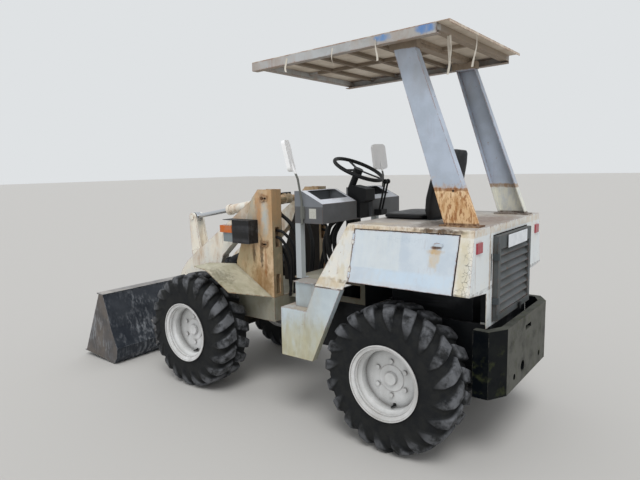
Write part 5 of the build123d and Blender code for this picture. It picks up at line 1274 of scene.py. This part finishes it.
@dataclass
class Ties:
    """White strips knotted round the canopy's near beam and its ribs, each hanging with a little curl."""

    shop: Workshop
    tape: Material
    steps: int = 14
    half_width: float = 0.007
    flatness: float = 0.4
    thickness: float = 0.08
    curl: float = 0.018
    curl_turn: float = 3.1
    lean: float = 0.010
    twist: float = 0.9
    # Place of each knot and the strip's length
    knots: tuple[tuple[float, ...], ...] = (
        (-0.518, 0.5685, 2.335, 0.085),
        (-0.868, 0.5685, 2.345, 0.105),
        (-1.160, 0.5685, 2.352, 0.120),
        (-1.508, 0.395, 2.345, 0.205),
        (-1.522, 0.400, 2.345, 0.190),
        (-1.640, 0.330, 2.345, 0.170),
    )

    def strip(self, index: int, knot: tuple[float, ...]) -> Surface:
        """One strip: a flat ring of four points carried down a curling line, closed at both ends.

        Args:
            index: The strip's number, which turns its curl and twist.
            knot: Its place and length.

        Returns:
            The surface.
        """
        x, y, z, length = knot
        run = np.linspace(0, 1, self.steps)
        curl = self.curl * np.sin(run * self.curl_turn + index) * run
        middle = np.stack([x + curl, y + self.lean * run**2, z - length * run], -1)
        turn = self.twist * run + index
        across = np.stack([np.cos(turn), np.sin(turn) * self.flatness, 0 * run], -1) * self.half_width
        skin = np.cross(across, (0.0, 0.0, 1.0)) * self.thickness
        ring = np.stack([middle + across, middle + skin, middle - across, middle - skin], 1)
        closed = np.concatenate([np.repeat(middle[:1, None], 4, 1), ring, np.repeat(middle[-1:, None], 4, 1)])
        return Surface.grid(closed, wrap_columns=True)

    def build(self) -> None:
        """Hangs the strips."""
        strips = [self.strip(index, knot) for index, knot in enumerate(self.knots)]
        self.shop.piece("canopy_ties", Surface.joined(strips), self.tape, "rear_frame")


@dataclass
class CowlFlanges:
    """The pale flange round each trough of the cowl."""

    shop: Workshop
    paint: Material
    front: float = -0.4935
    back: float = -0.7195
    brow: float = 0.060
    inner: float = 0.107
    outer: float = 0.497
    top: float = 1.508
    drop: float = 0.083
    thick: float = 0.003
    wide: float = 0.056
    clearance: float = 0.0005
    brow_share: float = 0.27

    def ring(self, inset: float, lift: int) -> Array:
        """One ring round the trough: level over the brow, then sloping back, with a corner more at the bend.

        Args:
            inset: 0 for the outline, 1 for the opening, which is drawn in by the flange's width.
            lift: 0 for the underside, 1 for the upper side.

        Returns:
            Six points by 3, on the left side.
        """
        bend, wide = self.front - self.brow, self.wide
        x, y = (self.front, self.front, self.back, self.back), (self.inner, self.outer, self.outer, self.inner)
        # The opening is nearer the front edge, and nearest the inner one, because the walls there are narrow
        inward = np.array([(-0.6, 0.3), (-0.6, -1.0), (1.0, -1.0), (1.0, 0.3)]) * wide
        flat = np.column_stack([x, y]) + inward * inset
        share = np.clip((bend - flat[:, 0]) / (bend - self.back), 0, 1)
        level = self.top - self.drop * share - self.clearance - (1 - lift) * self.thick
        first, second, third, fourth = np.column_stack([flat, level])
        near = (bend, second[1] + (third[1] - second[1]) * self.brow_share, level.max())
        far = (bend, first[1] + (fourth[1] - first[1]) * self.brow_share, level.max())
        return np.array([first, second, near, third, fourth, far])

    def build(self) -> None:
        """Builds both flanges: the outline's two rings and the opening's two, joined in turn."""
        rings = np.array([self.ring(*step) for step in ((0.0, 0), (0.0, 1), (1.0, 1), (1.0, 0))])
        for side, sign in SIDES:
            flange = Surface.grid(rings * (1, sign, 1), wrap_rows=True, wrap_columns=True)
            self.shop.piece(f"cowl_flange_{side}", flange, self.paint, "rear_frame", sharp=20.0)


@dataclass
class TailFittings:
    """The blank name plate and the latch on the tail grille: where each one stands on it, and its size."""

    shop: Workshop
    plate: Material
    latch: Material
    plate_place: tuple[float, float] = (-0.012, 1.222)
    plate_size: Triple = (0.350, 0.074, 0.003)
    latch_place: tuple[float, float] = (-0.074, 0.800)
    latch_size: Triple = (0.030, 0.044, 0.012)

    def build(self) -> None:
        """Sets both slabs on the grille's outer face."""
        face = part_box("rear_grille")[0].x
        place = frame_at((face - 0.0015, *self.plate_place), (-1, 0, 0), (0, 1, 0))
        self.shop.piece("blank_plate", Surface.slab(self.plate_size, 4.0, place), self.plate, "rear_grille")
        place = frame_at((face - 0.003, *self.latch_place), (-1, 0, 0), (0, 1, 0))
        self.shop.piece("grille_latch", Surface.slab(self.latch_size, 8.0, place), self.latch, "rear_grille")


@dataclass
class Plumbing:
    """Rubber hoses and hard lines, each a round tube along a smooth curve."""

    shop: Workshop
    rubber: Material
    sides: int = 12
    steps: int = 12
    up: Triple = (0.0, 1.0, 0.05)

    def curve(self, points: Array) -> Array:
        """A smooth path through points: on each span the cubic whose end slopes are the neighbours' chords.

        Args:
            points: Points by 3.

        Returns:
            The path's points by 3.
        """
        padded = np.vstack([2 * points[0] - points[1], points, 2 * points[-1] - points[-2]])
        t = np.linspace(0, 1, self.steps, endpoint=False)[:, None]
        spans = []
        for a, b, c, d in zip(padded, padded[1:], padded[2:], padded[3:]):
            spans.append(b + t / 2 * (c - a + t * (2 * a - 5 * b + 4 * c - d + t * (3 * (b - c) + d - a))))
        return np.vstack([*spans, points[-1:]])

    def build(self) -> None:
        """Builds one piece of hoses for each body that carries some."""
        mirrored = [(radius, *((x, -y, z) for x, y, z in points)) for radius, *points in SIDE_HOSES]
        for body, hoses in HOSES.items():
            if body == "front_half":
                hoses = (*SIDE_HOSES, *mirrored, *hoses)
            paths = [(radius, self.curve(np.array(points))) for radius, *points in hoses]
            tubes = [Surface.tube(path, radius, self.sides, self.up) for radius, path in paths]
            self.shop.piece(f"hoses_{body}", Surface.joined(tubes), self.rubber, body)


@dataclass
class KeeperBolts:
    """The pair of bolts that holds each keeper plate on the loader tower's outer faces."""

    shop: Workshop
    steel: Material
    # X and z of the first bolt of each pair
    places: tuple[tuple[float, float], ...] = ((-0.0785, 1.443), (-0.0725, 1.105))
    pitch: float = 0.016
    face: float = 0.337
    across: float = 0.011
    height: float = 0.006

    def build(self) -> None:
        """Builds one piece of heads for each side."""
        for side, sign in SIDES:
            steps = (0.0, self.pitch)
            points = np.array([(x + step, sign * self.face, z) for x, z in self.places for step in steps])
            heads = Surface.heads(points, np.array([0.0, sign, 0.0]), self.across, self.height)
            self.shop.piece(f"keeper_bolts_{side}", heads, self.steel, "front_half", sharp=25.0)


@dataclass
class Studio:
    """A plain pale floor, soft light and a camera at the photograph's viewing angle."""

    place: Triple = (-2.7545, 3.206, 1.655)
    yaw: float = -52.76
    pitch: float = -7.65
    roll: float = -1.14
    focal_px: float = 536.3
    image_width_px: float = 640.0
    sensor_mm: float = 36.0
    floor_reach: float = 90.0
    floor_colour: str = "#c6c4c0"
    sky_colour: str = "#dfe2e4"
    ambient_colour: str = "#f4f6f9"
    ambient: float = 0.72
    sun: float = 1.35
    sun_spread: float = 28.0
    sun_turn: Triple = (-24.0, -20.0, 0.0)
    view_reach: float = 500.0

    def camera(self) -> None:
        """Places the camera from its yaw, pitch and roll."""
        yaw, pitch, roll = (math.radians(a) for a in (self.yaw, self.pitch, self.roll))
        ahead = Vector((math.cos(pitch) * math.cos(yaw), math.cos(pitch) * math.sin(yaw), math.sin(pitch)))
        right = Vector((math.sin(yaw), -math.cos(yaw), 0))
        above = right.cross(ahead)
        turned_right = right * math.cos(roll) + above * math.sin(roll)
        turned_up = above * math.cos(roll) - right * math.sin(roll)
        data = bpy.data.cameras.new("camera")
        data.sensor_width = self.sensor_mm
        data.lens = self.focal_px / self.image_width_px * self.sensor_mm
        data.clip_end = self.view_reach
        camera = bpy.data.objects.new("camera", data)
        matrix = Matrix((turned_right, turned_up, -ahead)).transposed().to_4x4()
        matrix.translation = Vector(self.place)
        camera.matrix_world = matrix
        bpy.context.scene.collection.objects.link(camera)
        bpy.context.scene.camera = camera

    def floor(self) -> None:
        """A wide floor of pale matt board, which keeps the machine's shadow."""
        shade = Shade("pale_matt_board", self.floor_colour, 0.9)
        side = np.linspace(-self.floor_reach, self.floor_reach, 3)
        x, y = np.meshgrid(side, side)
        surface = Surface.grid(np.stack([x, y, 0 * x], -1))
        mesh = bpy.data.meshes.new("floor")
        mesh.from_pydata(surface.points.tolist(), [], surface.quads.tolist())
        mesh.materials.append(shade.done())
        board = bpy.data.objects.new("floor", mesh)
        bpy.context.scene.collection.objects.link(board)

    def light(self) -> None:
        """An even sky that lights the machine, seen by the camera as a pale backdrop, and one soft high lamp."""
        world = bpy.data.worlds.new("sky")
        bpy.context.scene.world = world
        world.use_nodes = True
        tree = world.node_tree
        tree.nodes.clear()
        path = add_node(tree, "LightPath")
        seen = path["Is Camera Ray"]
        for other in ("Is Glossy Ray", "Is Transmission Ray"):
            seen = add_node(tree, "Math", {0: seen, 1: path[other]}, operation="MAXIMUM")[0]
        inputs = {"Color": linear(self.ambient_colour), "Strength": self.ambient}
        dull = add_node(tree, "Background", inputs)
        pale = add_node(tree, "Background", {"Color": linear(self.sky_colour), "Strength": 1.0})
        mixed = add_node(tree, "MixShader", {0: seen, 1: dull[0], 2: pale[0]})
        add_node(tree, "OutputWorld", {"Surface": mixed[0]})
        lamp = bpy.data.lights.new("high_lamp", "SUN")
        lamp.energy = self.sun
        lamp.angle = math.radians(self.sun_spread)
        sun = bpy.data.objects.new("high_lamp", lamp)
        sun.rotation_euler = [math.radians(turn) for turn in self.sun_turn]
        bpy.context.scene.collection.objects.link(sun)

    def build(self) -> None:
        """Builds the studio."""
        bpy.context.scene.view_settings.view_transform = "Standard"
        self.camera()
        self.floor()
        self.light()


@dataclass
class Machine:
    """The whole loader: its finishes and its sub-assemblies."""

    shop: Workshop
    look: dict[str, Material] = field(default_factory=dict)

    def mix_finishes(self) -> None:
        """Builds every finish once."""
        for recipe in (*COVER_COATS, *LOADER_COATS, *CANOPY_COATS, *CAB_COATS, *DARK_COATS, *SMALL_FINISHES):
            self.look[recipe.name] = recipe.material()

    def dress_frame(self) -> None:
        """Gives each frame node its finish."""
        for finish, nodes in DRESSING.items():
            self.shop.dress(self.look[finish], *nodes)

    def build(self) -> None:
        """Builds every sub-assembly."""
        self.mix_finishes()
        self.dress_frame()
        Tyres(self.shop, self.look["vulcanised_tyre_rubber"]).build()
        Wheels(self.shop, self.look["warm_grey_rim_enamel"], self.look["black_moulded_plastic"]).build()
        Seat(self.shop, self.look["black_moulded_vinyl"]).build()
        Ties(self.shop, self.look["white_polythene_tape"]).build()
        CowlFlanges(self.shop, self.look["pale_cowl_enamel"]).build()
        TailFittings(self.shop, self.look["white_plate_enamel"], self.look["black_moulded_plastic"]).build()
        Plumbing(self.shop, self.look["black_hose_rubber"]).build()
        KeeperBolts(self.shop, self.look["tarnished_pin_steel"]).build()


def corners(bounds: tuple[Vector, Vector]) -> list[list[float]]:
    """A box's two corners as plain lists."""
    return [list(corner) for corner in bounds]


def main() -> None:
    """Loads the frame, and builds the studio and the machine."""
    logging.basicConfig(level=logging.INFO, format="%(name)s: %(message)s")
    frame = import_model()
    Studio().build()
    shop = Workshop(frame)
    Machine(shop).build()
    LOG.info("%d pieces built", shop.made)


if __name__ == "__main__":
    main()
